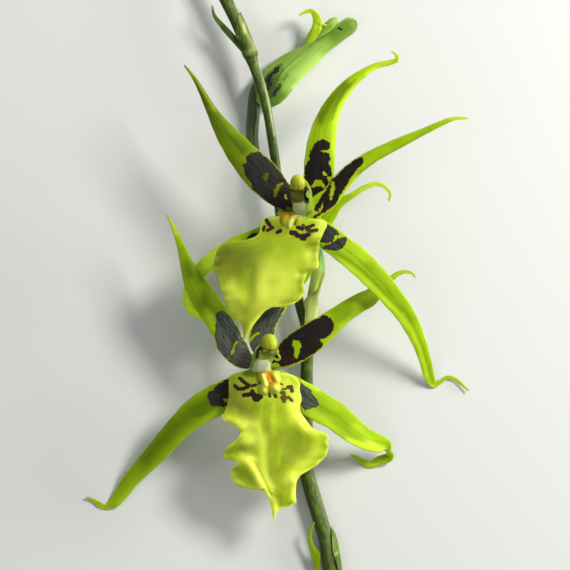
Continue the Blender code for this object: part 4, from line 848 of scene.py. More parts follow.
def rounded(outline, steps=6):
    """A closed outline with smooth corners."""
    before = np.roll(outline, 1, axis=0)
    after = np.roll(outline, -1, axis=0)
    beyond = np.roll(outline, -2, axis=0)
    found = []
    for share in np.arange(steps) / steps:
        square = share * share
        cube = square * share
        found.append(0.5 * (2 * outline + (after - before) * share
                            + (2 * before - 5 * outline + 4 * after - beyond) * square
                            + (3 * outline - before - 3 * after + beyond) * cube))
    return np.stack(found, axis=1).reshape(-1, 2)


def gap_to_chain(places, chain):
    """Distance in plan from each place to an open chain of points."""
    best = np.full(len(places), np.inf)
    for start, end in zip(chain[:-1], chain[1:]):
        step = end - start
        share = np.clip((places - start) @ step / max(step @ step, 1e-9), 0.0, 1.0)
        gap = np.linalg.norm(places - start - share[:, None] * step, axis=1)
        best = np.minimum(best, gap)
    return best


def depth_in(places, outline):
    """How far each place lies within a closed outline, less than zero outside it."""
    outline = rounded(np.array(outline, float).reshape(-1, 2))
    inside = np.zeros(len(places), bool)
    for start, end in zip(outline, np.roll(outline, -1, axis=0)):
        crosses = (start[1] > places[:, 1]) != (end[1] > places[:, 1])
        height = end[1] - start[1]
        level = height if abs(height) > 1e-9 else 1e-9
        edge = start[0] + (places[:, 1] - start[1]) * (end[0] - start[0]) / level
        inside ^= crosses & (places[:, 0] < edge)
    gap = gap_to_chain(places, np.concatenate((outline, outline[:1])))
    return np.where(inside, gap, -gap)


def gaps(places, strokes):
    """Half width, amount and distance from each place, for each stroke."""
    for half_width, amount, *chain in strokes:
        yield half_width, amount, gap_to_chain(places, np.array(chain, float).reshape(-1, 2))


def soft_strokes(places, strokes):
    """Sum of the soft strokes at each place."""
    total = np.zeros(len(places))
    for half_width, amount, gap in gaps(places, strokes):
        total += amount * np.exp(-(gap / half_width) ** 2)
    return total


def firm_strokes(places, strokes):
    """Strongest of the strokes at each place, each with a firm edge."""
    most = np.zeros(len(places))
    for half_width, amount, gap in gaps(places, strokes):
        share = np.clip((half_width - gap) / PATCH_SOFTNESS + 0.5, 0.0, 1.0)
        most = np.maximum(most, amount * share * share * (3 - 2 * share))
    return most


def painted(form, places):
    """Strokes of every kind at each place."""
    values = {key: soft_strokes(places, form.get(key, ())) for key in SOFT_STROKES}
    values.update({key: firm_strokes(places, form.get(key, ())) for key in FIRM_STROKES})
    return values


def marking(places, form, margin):
    """Signed distance to the dark blotches, kept a little way inside the margins."""
    depth = np.full(len(places), FAR_OUT)
    for outline in form.get("blotches", ()):
        depth = np.maximum(depth, depth_in(places, outline))
    for outline in form.get("windows", ()):
        depth = np.minimum(depth, -depth_in(places, outline))
    return np.minimum(depth, margin)


def spots_at(places, form):
    """Signed distance to the spots, and how tan the nearest of them is."""
    depth = np.full(len(places), FAR_OUT)
    tan = np.zeros(len(places))
    for half_width, amount, gap in gaps(places, form.get("spots", ())):
        here = SPOT_GROWTH * half_width - gap
        tan = np.where(here > depth, amount, tan)
        depth = np.maximum(depth, here)
    return depth, tan


def drawn_in(share, least):
    """Width near a round end, from the share of the way in from it."""
    return np.maximum(np.sqrt(1.0 - (1.0 - share) ** 2), least)


def thinned(thickness, side):
    """Thickness of a blade that gets thinner towards its margins."""
    return thickness * (MARGIN_SHARE + (1 - MARGIN_SHARE) * np.sqrt(1 - np.abs(side) ** 5))


def link(name, data):
    """Put a mesh, a lamp or a camera into the scene."""
    made = bpy.data.objects.new(name, data)
    bpy.context.scene.collection.objects.link(made)
    return made


def stand_in(node, material, *parts):
    """Add the finer piece that stands for one node, from parts: points, faces, painted values."""
    points = np.concatenate([part[0] for part in parts])
    faces = []
    start = 0
    for part in parts:
        faces += [[index + start for index in face] for face in part[1]]
        start += len(part[0])
    mesh = bpy.data.meshes.new(node + "_shape")
    mesh.from_pydata(((points + ORIGIN_SHIFT) * MM).tolist(), [], faces)
    for key, first in parts[0][2].items():
        whole = np.concatenate([
            part[2].get(key, np.zeros((len(part[0]),) + first.shape[1:])) for part in parts])
        kind, field = ("FLOAT_VECTOR", "vector") if first.ndim == 2 else ("FLOAT", "value")
        layer = mesh.attributes.new(key, kind, "POINT")
        layer.data.foreach_set(field, whole.astype(np.float32).ravel())
    mesh.materials.append(material)
    mesh.shade_smooth()
    piece = link(node + "_shape", mesh)
    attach(piece, "root")
    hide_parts(node)


def sheet_part(name, grid, thickness, margin, run, across):
    """A closed thin shell round a grid, with its painted values."""
    shape = grid.shape[:2]
    normals = unit(np.cross(np.gradient(grid, axis=1), np.gradient(grid, axis=0)))
    offset = normals * np.broadcast_to(thickness, shape)[..., None] / 2
    points = np.concatenate(((grid + offset).reshape(-1, 3), (grid - offset).reshape(-1, 3)))
    back = shape[0] * shape[1]
    index = np.arange(back).reshape(shape)
    corners = (index[:-1, :-1], index[:-1, 1:], index[1:, 1:], index[1:, :-1])
    top = np.stack(corners, axis=-1).reshape(-1, 4)
    border = np.concatenate((index[0, :], index[1:, -1], index[-1, -2::-1], index[-2:0:-1, 0]))
    follow = np.roll(border, -1)
    rim = np.stack((border, border + back, follow + back, follow), axis=-1)
    faces = top.tolist() + (top[:, ::-1] + back).tolist() + rim.tolist()
    form = PIECES[name]
    places = np.tile(grid[..., :2].reshape(-1, 2), (2, 1))
    margin, run, across = (
        np.tile(np.broadcast_to(layer, shape).ravel(), 2) for layer in (margin, run, across))
    spots, tan = spots_at(places, form)
    values = painted(form, places)
    values.update({
        "mark": marking(places, form, margin - MARK_INSET),
        "spot": np.minimum(spots, margin),
        "tan": tan,
        # how much painted grey sheen, a painted reflection, covers the blotches
        "grey": np.full(len(places), form.get("grey", PLAIN_SHEEN)),
        # painted brightness: painted shade or painted light over the whole piece
        "tone": np.full(len(places), form.get("tone", 1.0)),
        "margin": margin,
        "front": np.repeat((1.0, 0.0), back),
        "run": run,
        "grain": np.stack((across, run, 0 * run), axis=-1),
    })
    return points, faces, values


def blade_grid(name, stations, spacing, columns):
    """Grid of a leaf-like blade with a groove, folds and waved margins, and its places."""
    stations = smooth([(*row, 0.0)[:6] for row in stations], spacing)
    middle = stations[:, :3]
    along, flat, run = frame_along(middle)
    roll = np.radians(stations[:, 5:6])
    across = flat * np.cos(roll) + np.cross(along, flat) * np.sin(roll)
    outward = np.cross(across, along)
    end = np.minimum((run[-1] - run) / (stations[-1, 3] + TIP_ROUNDING), 1.0)
    run = run[:, None]
    half = (stations[:, 3:4] / np.maximum(np.cos(roll), STEEP_ROLL_COSINE)
            * drawn_in(end, BLADE_END)[:, None])
    side = np.linspace(-1.0, 1.0, columns)
    width = half * side
    phase = sum(map(ord, name)) % 7
    ease = np.clip(run / EASE_RUN, 0.0, 1.0) * np.clip(half / EASE_HALF_WIDTH, 0.0, 1.0)
    lift = stations[:, 4:5] * (1 - side * side)
    lift = lift - GROOVE_DEPTH * ease * np.exp(-(width / GROOVE_HALF_WIDTH) ** 2)
    wave = np.sin(2 * pi * run / WAVE_LENGTH + phase + WAVE_SHIFT * np.sign(side))
    lift = lift + WAVE_HEIGHT * ease * wave * np.abs(side) ** 3
    if "fold" in PIECES[name]:
        lift = lift + fold_lift(PIECES[name]["fold"], run / run[-1], side, half)
    ripple = np.sin(2 * pi * run / RIPPLE_LENGTH + 2 * phase + 2 * np.sign(side))
    width = width * (1 + RIPPLE * ease * ripple)
    grid = middle[:, None] + across[:, None] * width[..., None] + outward[:, None] * lift[..., None]
    return grid, half, side, run


def fold_lift(fold, share, side, half):
    """Height that a fold along a blade adds beyond its line."""
    start, end, side_start, side_end, slope = fold
    place = np.clip((share - start) / (end - start), 0.0, 1.0)
    fade = (np.clip((share - start) / FOLD_EASE, 0.0, 1.0)
            * np.clip((end - share) / FOLD_EASE + 0.3, 0.0, 1.0))
    beyond = (side - (side_start + (side_end - side_start) * place)) * half
    bend = FOLD_SOFTNESS * np.logaddexp(0.0, beyond / FOLD_SOFTNESS)
    return slope * bend * fade


def blade_part(name, stations, thickness=TEPAL_THICKNESS, spacing=0.5, columns=26):
    """A leaf-like blade with its markings."""
    grid, half, side, run = blade_grid(name, stations, spacing, columns)
    margin = half * (1 - np.abs(side))
    return sheet_part(name, grid, thinned(thickness, side), margin, run, half * side)


def calm(values):
    """The same values along a lip, without their sudden turns."""
    reach = round(LIP_CALM_REACH / LIP_ROW_SPACING) + 1
    weights = np.hanning(2 * reach + 1)
    return np.convolve(np.pad(values, reach, mode="edge"), weights / weights.sum(), mode="valid")


def margin_line(margin):
    """A lip margin as a fine smooth line from its foot to its tip."""
    line = smooth([(x, y, 0.0) for x, y in zip(margin[::2], margin[1::2])], 0.2)[:, :2]
    return line[:, 0], np.minimum.accumulate(line[:, 1])


def add_lip(name, heart, material):
    """Add a lip with ruffled margins, ridges, hollows and spots."""
    form = PIECES[name]
    left_x, left_y = margin_line(form["left"])
    right_x, right_y = margin_line(form["right"])
    level = np.arange(form["left"][1], form["left"][-1], -LIP_ROW_SPACING)
    low = np.interp(-level, -left_y, left_x)
    high = np.interp(-level, -right_y, right_x)
    ladder = smooth([((a + c) / 2, (b + d) / 2, z, rise)
                     for a, b, c, d, z, rise in form["ladder"]], 0.4)
    depth = np.minimum.accumulate(ladder[:, 1])
    height = calm(np.interp(-level, -depth, ladder[:, 2]))[:, None]
    rise = calm(np.interp(-level, -depth, ladder[:, 3]))[:, None]
    calm_low = calm(low)
    calm_high = calm(high)
    calm_middle = (calm_low + calm_high) / 2
    calm_half = np.maximum(calm_high - calm_low, 1.0) / 2
    across = low[:, None] + (high - low)[:, None] * np.linspace(1.0, 0.0, LIP_COLUMNS)
    side = np.clip((across - calm_middle[:, None]) / calm_half[:, None], -LIP_SIDE_LIMIT, LIP_SIDE_LIMIT)
    run = np.hypot(calm_middle - heart[0], level - heart[1])
    ease = (np.minimum(run / LIP_RUFFLE_START, 1) * np.minimum(calm_half / 10, 1))[:, None]
    run = run[:, None]
    wave = np.sin(2 * pi * run / LIP_RUFFLE_LENGTH + side * LIP_RUFFLE_SHIFT)
    z = height + rise * (1 - side * side)
    z = z + LIP_RUFFLE_HEIGHT * wave * ease * np.abs(side) ** 3
    small = np.sin(2 * pi * run / LIP_CRIMP_LENGTH + 4 * side) * np.abs(side) ** 7
    z = z + LIP_CRIMP * small * ease
    grid = np.stack((across, level[:, None] + 0 * across, z), axis=-1)
    places = grid[..., :2].reshape(-1, 2)
    grid[..., 2] += soft_strokes(places, form["relief"]).reshape(z.shape)
    outline = np.concatenate((np.stack((low, level), axis=-1),
                              np.stack((high, level), axis=-1)[::-1]))
    margin = gap_to_chain(places, outline[::2]).reshape(z.shape)
    thick = LIP_THICKNESS * np.clip(0.4 + margin / 2.0, 0.4, 1.0)
    stand_in(name, material, sheet_part(name, grid, thick, margin, run, LIP_FAN * side))


def add_callus(name, level, material):
    """Add the fleshy ridges and lobes at the foot of a lip, whose margins sink into the lip."""
    middle, top, low, half_width, sink = PIECES[name]["place"]
    along = np.linspace(0.0, 1.0, CALLUS_CELLS)[:, None]
    side = np.linspace(1.0, -1.0, CALLUS_CELLS)
    x = side * half_width * (0.75 + 0.25 * np.sin(pi * (0.15 + 0.7 * along)))
    droop = CALLUS_DROOP * (np.abs(side) ** 4 + along ** 6)
    grid = np.stack((middle + x, top + (low - top) * along + 0 * x,
                     level - sink + CALLUS_CLIMB * along - droop), axis=-1)
    relief = soft_strokes(grid[..., :2].reshape(-1, 2), PIECES[name]["relief"])
    grid[..., 2] += relief.reshape(x.shape)
    sheet = sheet_part(name, grid, CALLUS_THICKNESS, 2.0, (top - low) * along, x)
    stand_in(name, material, sheet)


def tube_faces(shape):
    """Faces of a closed tube, wound outward."""
    index = np.arange(shape[0] * shape[1]).reshape(shape)
    follow = np.roll(index, -1, axis=1)
    wall = np.stack((index[:-1], follow[:-1], follow[1:], index[1:]), axis=-1).reshape(-1, 4)
    return wall[:, ::-1].tolist() + [index[0].tolist()] + [index[-1, ::-1].tolist()]


def tube_part(name, stations=None, reference=UP, ridges=(6, 0.0), spacing=0.6, sides=40, cap=0.8,
              corners=1.0):
    """A round stalk with lengthwise ridges, drawn in at both ends, with swellings and hollows."""
    form = PIECES[name]
    stations = smooth(stations or form["line"], spacing)
    middle = stations[:, :3]
    along, across, run = frame_along(middle, reference)
    upward = np.cross(across, along)
    end = np.clip(np.minimum(run, run[-1] - run) / cap, 0.0, 1.0)
    draw = drawn_in(end, TUBE_END)[:, None]
    angle = np.linspace(0.0, 2 * pi, sides, endpoint=False)
    count, depth = ridges
    rib = 1 + depth * np.cos(count * angle + 0.02 * run[:, None])
    flat = stations[:, 3:4] * draw * rib * np.sign(np.cos(angle)) * np.abs(np.cos(angle)) ** corners
    high = stations[:, -1:] * draw * rib * np.sign(np.sin(angle)) * np.abs(np.sin(angle)) ** corners
    grid = middle[:, None] + across[:, None] * flat[..., None] + upward[:, None] * high[..., None]
    if "swelling" in form:
        place, half, amount = form["swelling"]
        growth = amount * np.exp(-((run - place) / half) ** 2)
        centre = grid.mean(axis=1, keepdims=True)
        grid = centre + (grid - centre) * (1 + growth)[:, None, None]
    points = grid.reshape(-1, 3)
    if "hollows" in form:
        facing = np.tile(np.clip(-np.cos(angle), 0.0, 1.0), len(run))
        points[:, 2] -= soft_strokes(points[:, :2], form["hollows"]) * facing
    around = (angle * stations[:, 3:4]).ravel()
    length = np.repeat(run, sides)
    values = painted(form, points[:, :2])
    values["turn"] = np.tile(np.cos(angle), len(run))
    values["grain"] = np.stack((around, length, 0 * length), axis=-1)
    return points, tube_faces(grid.shape[:2]), values


def wrap_part(name, stations, tip=0.0, columns=48):
    """A thin sheath with a rounded tip over an arc of the ellipse at each station."""
    stations = smooth(stations, 0.4)
    middle = stations[:, :3]
    along, across, run = frame_along(middle)
    upward = np.cross(across, along)
    if tip:
        end = np.clip((run[-1] - run) / tip, 0.0, 1.0)
        stations[:, 3:5] *= drawn_in(end, WRAP_END)[:, None]
    side = np.linspace(-1.0, 1.0, columns)
    start, end = np.radians(stations[:, -2:, None]).transpose(1, 0, 2)
    angle = (start + end) / 2 + (start - end) / 2 * side
    rib = 1 + WRAP_RIB * np.cos(WRAP_RIBS * angle)
    grid = (middle[:, None] + across[:, None] * (stations[:, 3:4] * rib * np.cos(angle))[..., None]
            + upward[:, None] * (stations[:, 4:5] * rib * np.sin(angle))[..., None])
    half = stations[:, 3:4] * (end - start) / 2
    margin = half * (1 - np.abs(side))
    return sheet_part(name, grid, thinned(WRAP_THICKNESS, side), margin, run[:, None], half * side)


def add_column(name, material):
    """Add a column with its hollow front and the small curled wings beside its mouth."""
    form = PIECES[name]
    column = tube_part(name, None, SIDEWAYS, (2, 0.0), 0.2, 96, 1.0, 0.7)
    column[2]["wing"] = np.zeros(len(column[0]))
    parts = [column]
    for stations in form["wings"]:
        grid, half, side, run = blade_grid(name, stations, 0.2, 9)
        points, faces, _ = sheet_part(name, grid, WING_THICKNESS, half, run, side)
        parts.append((points, faces, {"wing": np.ones(len(points)), "grain": points - column[0][0]}))
    stand_in(name, material, *parts)


def add_anther_cap(name, material):
    """Add the helmet-shaped cap at the end of a column, with a shallow furrow over its crown."""
    form = PIECES[name]
    centre = np.array(form["centre"])
    tilt = np.linspace(POLE_GAP, pi - POLE_GAP, CAP_ROWS)[:, None]
    angle = np.linspace(0.0, 2 * pi, CAP_SIDES, endpoint=False)
    direction = np.stack((np.sin(tilt) * np.cos(angle), np.cos(tilt) + 0 * angle,
                          -np.sin(tilt) * np.sin(angle)), axis=-1)
    forward = direction[..., 1]
    furrow = (np.exp(-(direction[..., 0] / CAP_FURROW_WIDTH) ** 2)
              * np.clip(0.2 - forward, 0.0, 0.6))
    size = 1 - CAP_FURROW * furrow
    direction[..., 1] = np.where(forward < CAP_BRIM, CAP_BRIM + 0.55 * (forward - CAP_BRIM), forward)
    grid = centre + direction * size[..., None] * np.array(form["half_sizes"])
    points = grid.reshape(-1, 3)
    values = painted(form, points[:, :2])
    values.update({"grain": points - centre, "furrow": furrow.ravel()})
    stand_in(name, material, (points, tube_faces(grid.shape[:2]), values))


class Paint:
    """A node material whose colour is built up step by step."""

    def __init__(self, name):
        self.material = bpy.data.materials.new(name)
        self.material.use_nodes = True
        self.tree = self.material.node_tree
        self.shader = self.tree.nodes["Principled BSDF"]
        self.colour = None

    def feed(self, node, inputs):
        """Link each input of a node to an output, or set it to a constant."""
        for key, value in inputs.items():
            if isinstance(value, bpy.types.NodeSocket):
                self.tree.links.new(value, node.inputs[key])
            else:
                node.inputs[key].default_value = value

    def node(self, kind, output, inputs, **settings):
        """Add a node, and give one of its outputs."""
        made = self.tree.nodes.new("ShaderNode" + kind)
        for key, value in settings.items():
            setattr(made, key, value)
        self.feed(made, inputs)
        return made.outputs[output]

    def layer(self, name, output="Fac"):
        """A painted value of the mesh."""
        return self.node("Attribute", output, {}, attribute_name=name)

    def noise(self, stretch, detail=2.0, roughness=0.55, place=None):
        """Soft noise between 0 and 1 over the piece, stretched along each axis of its grain."""
        if place is None:
            place = self.layer("grain", "Vector")
        place = self.node("VectorMath", 0, {0: place, 1: stretch}, operation="MULTIPLY")
        settings = {"Scale": 1.0, "Detail": detail, "Roughness": roughness, "Vector": place}
        return self.node("TexNoise", "Fac", settings)

    def math(self, operation, *values):
        """One step of arithmetic."""
        return self.node("Math", 0, dict(enumerate(values)), operation=operation)

    def times(self, first, second):
        """A product."""
        return self.math("MULTIPLY", first, second)

    def plus(self, first, second):
        """A sum."""
        return self.math("ADD", first, second)

    def step(self, value, low, high, start=0.0, end=1.0):
        """A smooth step from start at low to end at high."""
        inputs = {"Value": value, "From Min": low, "From Max": high, "To Min": start, "To Max": end}
        return self.node("MapRange", "Result", inputs, interpolation_type="SMOOTHSTEP")

    def rough(self, noise, low, high):
        """Roughness between two values, as a noise has it."""
        return self.step(noise, ROUGH_FROM, ROUGH_TO, low, high)

    def blend(self, share, first, second):
        """A colour between two others."""
        return self.node("Mix", 2, {0: share, 6: first, 7: second}, data_type="RGBA",
                         clamp_factor=True)

    def base(self, noise, low, high, first, second):
        """Start from two colours in soft patches."""
        self.colour = self.blend(self.step(noise, low, high), first, second)

    def over(self, share, colour, strength=None):
        """Cover the colour so far with another, by a share."""
        if strength is not None:
            share = self.times(share, strength)
        self.colour = self.blend(share, self.colour, colour)

    def layers(self, **colours):
        """Cover the colour so far where each painted value says so."""
        for name, colour in colours.items():
            self.over(self.layer(name), colour)

    def tone(self):
        """Scale the colour by the piece's painted brightness, a painted shade or painted light over all
        of it.
        """
        inputs = {0: self.colour, "Scale": self.layer("tone")}
        self.colour = self.node("VectorMath", 0, inputs, operation="SCALE")

    def uneven(self, name, reach, *noise):
        """A painted distance in millimetres, with an edge that wanders."""
        return self.plus(self.layer(name), self.times(self.plus(self.noise(*noise), -0.5), reach))

    def seen(self, shown, share):
        """The shown part of a marking, weaker by a share on the underside."""
        return self.times(shown, self.math("MULTIPLY_ADD", self.layer("front"), share, 1 - share))

    def finish(self, roughness, height, strength=0.3, glow=0.0, coat=0.0, gloss=0.2):
        """Connect the colour, the gloss and the fine relief, whose height is in millimetres."""
        normal = self.node("Bump", "Normal", {"Distance": MM, "Strength": strength, "Height": height})
        self.feed(self.shader, {
            "Base Color": self.colour, "Roughness": roughness, "Normal": normal,
            "Subsurface Weight": glow, "Subsurface Radius": (1.0, 0.8, 0.25),
            "Subsurface Scale": 0.35 * MM, "Coat Weight": coat, "Coat Roughness": 0.3,
            "Specular IOR Level": gloss,
        })
        return self.material


def make_tepal_material():
    """Waxy yellow-green with fine lengthwise veins and maroon blotches, with painted shade and painted
    highlights.
    """
    paint = Paint("tepal")
    veins = paint.noise((2.6, 0.08, 1.0), 3.0)
    paint.base(paint.noise((0.22, 0.09, 1.0)), 0.3, 0.7, TEPAL_SHADE, TEPAL)
    paint.over(paint.step(veins, 0.5, 0.72), TEPAL_DEEP, 0.4)
    paint.over(paint.step(paint.layer("margin"), 0.9, 0.0), TEPAL_MARGIN, 0.55)
    # Painted shade and painted highlights from the deep and pale strokes, then the piece's painted
    # brightness
    paint.layers(deep=TEPAL_DEEP, pale=TEPAL_HIGHLIGHT)
    paint.tone()
    mark = paint.uneven("mark", 2.2, (0.8, 0.6, 1.0), 4.0, 0.65)
    streaks = paint.noise((2.2, 0.25, 1.0), 4.0, 0.7)
    # A painted grey sheen: a streaky reflection painted over the dark blotches
    grey = paint.times(paint.step(streaks, 0.38, 0.66, 0.25, 0.9), paint.layer("grey"))
    blotch = paint.blend(grey, MAROON, PAINTED_SHEEN_GREY)
    blotch = paint.blend(paint.step(mark, 0.5, 0.0), blotch, MAROON_EDGE)
    near = paint.times(paint.step(paint.layer("run"), 13.0, 5.0), paint.step(streaks, 0.5, 0.62))
    blotch = paint.blend(paint.times(near, 0.5), blotch, ROOT_RED)
    paint.over(paint.seen(paint.step(mark, -0.12, 0.16), 0.55), blotch)
    height = paint.plus(paint.times(veins, 0.35), paint.times(streaks, 0.15))
    return paint.finish(paint.rough(streaks, 0.42, 0.6), height, 0.5, 0.1, gloss=0.06)


def make_lip_material():
    """Soft yellow with ribs, brown spots, painted shade in its hollows and painted highlights on its
    folds.
    """
    paint = Paint("lip")
    ribs = paint.noise((1.0, 0.05, 1.0), 3.0)
    clouds = paint.noise((0.16, 0.13, 1.0), 3.0)
    paint.base(clouds, 0.32, 0.68, LIP_SHADE, LIP)
    paint.over(paint.step(ribs, 0.42, 0.68), LIP_DEEP, 0.2)
    paint.over(paint.step(paint.layer("margin"), 1.4, 0.1), LIP_BRIGHT, 0.5)
    # Painted shade in the hollows and painted highlights on the folds from the deep and pale strokes,
    # then the painted brightness
    paint.layers(deep=LIP_DEEP, pale=LIP_BRIGHT)
    paint.tone()
    spot = paint.uneven("spot", 0.7, (1.6, 1.6, 1.0))
    tint = paint.blend(paint.layer("tan"), SPOT, SPOT_TAN)
    paint.over(paint.seen(paint.step(spot, -0.2, 0.14), 0.8), tint)
    height = paint.plus(paint.times(ribs, 0.1), paint.times(clouds, 0.4))
    return paint.finish(paint.rough(clouds, 0.4, 0.55), height, 0.5, 0.16)


def make_callus_material():
    """Fleshy pale yellow ridges with an orange groove, and painted shade beside them."""
    paint = Paint("callus")
    clouds = paint.noise((0.7, 0.6, 1.0), 3.0)
    paint.base(clouds, 0.35, 0.65, CALLUS, CALLUS_SHADE)
    # Deep strokes paint shade beside the ridges; the painted brightness follows
    paint.layers(deep=LIP_DEEP, ridge=CALLUS_PALE, orange=CALLUS_ORANGE)
    paint.over(paint.step(paint.layer("spot"), -0.15, 0.15), SPOT_TAN)
    paint.tone()
    roughness = paint.rough(clouds, 0.3, 0.45)
    return paint.finish(roughness, paint.times(clouds, 0.5), 0.4, 0.15, coat=0.05)


def make_column_material():
    """Fleshy white and green with an olive front, painted shade in its cavities and under its cap, and
    small dark spots.
    """
    paint = Paint("column")
    clouds = paint.noise((0.5, 0.35, 0.5), 3.0)
    paint.base(clouds, 0.35, 0.65, COLUMN_GREEN, COLUMN_SIDE)
    # Dark strokes are mostly painted shade in the cavities and under the cap, partly small dark spots
    paint.layers(white=COLUMN_WHITE, olive=COLUMN_OLIVE, dark=COLUMN_SHADE_AND_SPOTS, wing=WING)
    roughness = paint.rough(clouds, 0.32, 0.46)
    return paint.finish(roughness, paint.times(clouds, 0.6), 0.4, 0.08, coat=0.05)


def make_cap_material():
    """Waxy yellow, with painted shade in its furrow and on its shaded side, and a painted highlight."""
    paint = Paint("anther_cap")
    clouds = paint.noise((0.5, 0.5, 0.5), 3.0)
    paint.base(clouds, 0.35, 0.65, CAP_SHADE, CAP)
    # Painted shade in the furrow, then painted shade and a painted highlight from the deep and pale
    # strokes
    paint.over(paint.layer("furrow"), CAP_PAINTED_SHADE, 0.14)
    paint.layers(deep=CAP_PAINTED_SHADE, pale=LIP_BRIGHT)
    roughness = paint.rough(clouds, 0.45, 0.6)
    return paint.finish(roughness, paint.times(clouds, 0.3), 0.3, 0.15, coat=0.03)


def make_stem_material():
    """Dark green with a purple-brown flush, painted shade down its left side and painted highlights down
    its right side.
    """
    paint = Paint("stem")
    streaks = paint.noise((1.3, 0.3, 1.0), 4.0, 0.65)
    specks = paint.noise((3.2, 1.2, 1.0), 3.0, 0.65)
    paint.base(paint.noise((0.45, 0.18, 1.0), 3.0), 0.35, 0.65, STEM_GREEN, STEM_LIGHT)
    paint.over(paint.step(streaks, 0.42, 0.64), STEM_FLUSH, 0.7)
    paint.over(paint.step(specks, 0.52, 0.68), STEM_SPECK, 0.5)
    # Painted shade down the side away from the light, a painted rim highlight on the lit side, then
    # painted highlight lines
    paint.over(paint.step(paint.layer("turn"), 0.1, -0.9), STEM_SHADED_SIDE, 0.75)
    paint.over(paint.step(paint.layer("turn"), 0.5, 1.0), STEM_RIM_HIGHLIGHT, 0.6)
    paint.layers(pale=STEM_HIGHLIGHT)
    height = paint.plus(paint.times(streaks, 0.4), paint.times(specks, 0.1))
    return paint.finish(paint.rough(specks, 0.35, 0.5), height, 0.45, coat=0.08)


def make_stalk_material():
    """Smooth light green, with painted light on the upper pedicel and darker along the bud's stalk."""
    paint = Paint("pedicel")
    streaks = paint.noise((1.6, 0.1, 1.0), 3.0)
    paint.base(streaks, 0.35, 0.65, STALK, STALK_DEEP)
    # Pale strokes paint light onto the upper pedicel where it lies in shade; deep strokes darken the
    # bud's stalk
    paint.layers(deep=STALK_DEEP, pale=STALK_HIGHLIGHT)
    roughness = paint.rough(streaks, 0.35, 0.5)
    return paint.finish(roughness, streaks, 0.3, 0.1, coat=0.15)


def make_bract_material():
    """Papery, pale at the margins and veined, with painted shade and painted highlights."""
    paint = Paint("bract")
    streaks = paint.noise((2.6, 0.12, 1.0), 3.0)
    paint.base(streaks, 0.35, 0.65, BRACT, BRACT_DEEP)
    paint.over(paint.step(paint.layer("margin"), 0.5, 0.0), BRACT_PALE, 0.5)
    # Painted shade and painted highlights from the deep and pale strokes, then the painted brightness
    paint.layers(deep=BRACT_DEEP, pale=BRACT_PALE)
    paint.tone()
    return paint.finish(paint.rough(streaks, 0.4, 0.6), streaks, 0.4, 0.15)


def make_bud_material():
    """Yellow-green with fine speckles and purple-grey smudges, a darker base and paler front partly as
    painted shade and highlights, and painted shade in the slit at its end.
    """
    paint = Paint("bud")
    streaks = paint.noise((1.2, 0.08, 1.0), 3.0)
    specks = paint.noise((2.6, 2.0, 1.0))
    paint.base(streaks, 0.35, 0.65, BUD_SKIN, BUD_DEEP)
    paint.over(paint.step(specks, 0.58, 0.72), BUD_SPECK, 0.35)
    # Deep and pale strokes: the bud's darker base and paler front, partly painted shade and highlights
    paint.layers(deep=BUD_GREEN, pale=BUD_PALE)
    patches = paint.step(paint.noise((1.0, 0.7, 1.0), 4.0, 0.7), 0.3, 0.58, 0.4, 1.1)
    paint.over(paint.times(paint.layer("smudge"), patches), BUD_SMUDGE)
    # Painted shade in the slit between the lobes at the bud's end
    paint.over(paint.step(paint.layer("spot"), -0.1, 0.1), BUD_SLIT_SHADE)
    roughness = paint.rough(specks, 0.42, 0.56)
    return paint.finish(roughness, streaks, 0.35, 0.12, coat=0.04)


def build_stem(materials):
    """Add the stem with its tip bud, its bracts and its sheath."""
    stem = tube_part("flower_stem", ridges=(7, 0.012), sides=56)
    stand_in("flower_stem", materials["stem"], stem)
    stand_in("stem_tip_bud", materials["stalk"], tube_part("stem_tip_bud", cap=1.2))
    for name, look in (("upper_stem_bract", "bract"), ("lower_stem_bract", "tepal"),
                       ("upper_pedicel_bract", "bract"), ("stem_sheath", "bract")):
        form = PIECES[name]
        parts = []
        if "sheath" in form:
            parts.append(wrap_part(name, form["sheath"]))
        if "line" in form:
            parts.append(blade_part(name, form["line"], BRACT_THICKNESS, 0.3, 20))
        stand_in(name, materials[look], *parts)


def inset(by, arc=()):
    """The bud's own shape, a little smaller, with the arc of a sepal."""
    return [(*place, width - by, height - by, *arc) for *place, width, height in BUD_SHAPE]


def build_bud(materials):
    """Add the pieces of the opening bud."""
    stand_in("bud_pedicel", materials["stalk"], tube_part("bud_pedicel", ridges=(6, 0.06)))
    name = "bud_folded_petals"
    core = tube_part(name, inset(BUD_CORE_INSET), ridges=(3, 0.02), sides=56, cap=3.0)
    stand_in(name, materials["bud"], core)
    name = "bud_front_sepal"
    stand_in(name, materials["bud"], wrap_part(name, inset(BUD_SEPAL_INSET, BUD_FRONT_ARC), BUD_TIP))
    name = "bud_back_sepal"
    stand_in(name, materials["bud"], wrap_part(name, inset(BUD_SEPAL_INSET, BUD_BACK_ARC), BUD_TIP),
             blade_part(name, PIECES[name]["line"], TEPAL_THICKNESS, 0.3, 20))
    name = "bud_curled_sepal"
    stand_in(name, materials["tepal"], blade_part(name, PIECES[name]["line"]),
             blade_part(name, PIECES[name]["strand"], WING_THICKNESS, 0.2, 8))


def build_bloom(bloom, heart, materials):
    """Add the pieces of one open bloom, whose sepals spring from below its petals."""
    start = bloom + "_bloom_"
    for part in ("dorsal_sepal", "left_sepal", "right_sepal", "left_petal", "right_petal"):
        form = PIECES[start + part]
        angle = radians(form["direction"])
        foot = heart + np.array((cos(angle), sin(angle), 0.0)) * ROOT_DISTANCE
        level = heart[2] - WHORL_STEP * part.endswith("sepal")
        root = (foot[0], foot[1], level, ROOT_HALF_WIDTH, 0)
        stand_in(start + part, materials["tepal"], blade_part(start + part, (root,) + form["line"]))
    add_lip(start + "lip", heart, materials["lip"])
    add_callus(start + "callus", heart[2] + CALLUS_HEIGHT, materials["callus"])
    add_column(start + "column", materials["column"])
    add_anther_cap(start + "anther_cap", materials["anther_cap"])
    name = start + "pedicel"
    stand_in(name, materials["stalk"], tube_part(name, None, SIDEWAYS, (6, 0.03)))


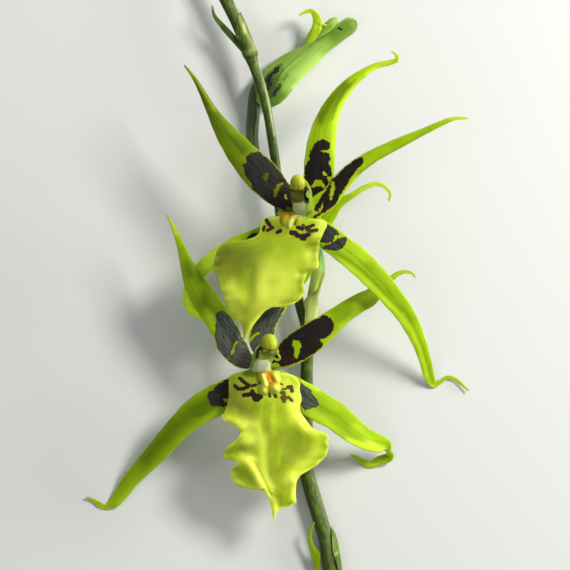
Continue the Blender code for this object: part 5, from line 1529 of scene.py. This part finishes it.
def add_floor():
    """Add the plain pale surface that the spray lies on."""
    corners = [(x * FLOOR_HALF, y * FLOOR_HALF, 0) for x, y in ((-1, -1), (1, -1), (1, 1), (-1, 1))]
    mesh = bpy.data.meshes.new("floor")
    mesh.from_pydata(corners, [], [(0, 1, 2, 3)])
    paint = Paint("floor")
    place = paint.node("TexCoord", "Object", {})
    clouds = paint.noise((1.0, 1.0, 1.0), 3.0, place=place)
    paint.colour = paint.blend(clouds, FLOOR, FLOOR_SHADE)
    mesh.materials.append(paint.finish(0.85, clouds, 0.05))
    floor = link("floor", mesh)


def light_scene():
    """Set the soft studio light."""
    scene = bpy.context.scene
    scene.view_settings.view_transform = "Standard"
    world = bpy.data.worlds.new("studio")
    world.use_nodes = True
    world.node_tree.nodes["Background"].inputs["Color"].default_value = SKY
    world.node_tree.nodes["Background"].inputs["Strength"].default_value = SKY_STRENGTH
    scene.world = world
    for name, (place, size, power, colour) in LAMPS.items():
        lamp = bpy.data.lights.new(name, "AREA")
        lamp.shape = "DISK"
        lamp.size = size
        lamp.energy = power
        lamp.color = colour
        made = link(name, lamp)
        made.location = place
        made.rotation_euler = (-Vector(place)).to_track_quat("-Z", "Y").to_euler()


def add_camera():
    """Add the camera, which looks straight down on the blooms."""
    lens = bpy.data.cameras.new("camera")
    lens.sensor_width = CAMERA_SENSOR
    lens.lens = CAMERA_LENS
    lens.clip_end = 20.0
    camera = link("camera", lens)
    camera.location = (*(ORIGIN_SHIFT[:2] * MM), CAMERA_HEIGHT)
    bpy.context.scene.camera = camera


def main():
    """Build the whole scene."""
    materials = {
        "tepal": make_tepal_material(), "lip": make_lip_material(),
        "callus": make_callus_material(), "column": make_column_material(),
        "anther_cap": make_cap_material(), "stem": make_stem_material(),
        "stalk": make_stalk_material(), "bract": make_bract_material(), "bud": make_bud_material(),
    }
    build_stem(materials)
    build_bud(materials)
    for bloom, heart in HEARTS.items():
        build_bloom(bloom, heart, materials)
    add_floor()
    light_scene()
    add_camera()


main()
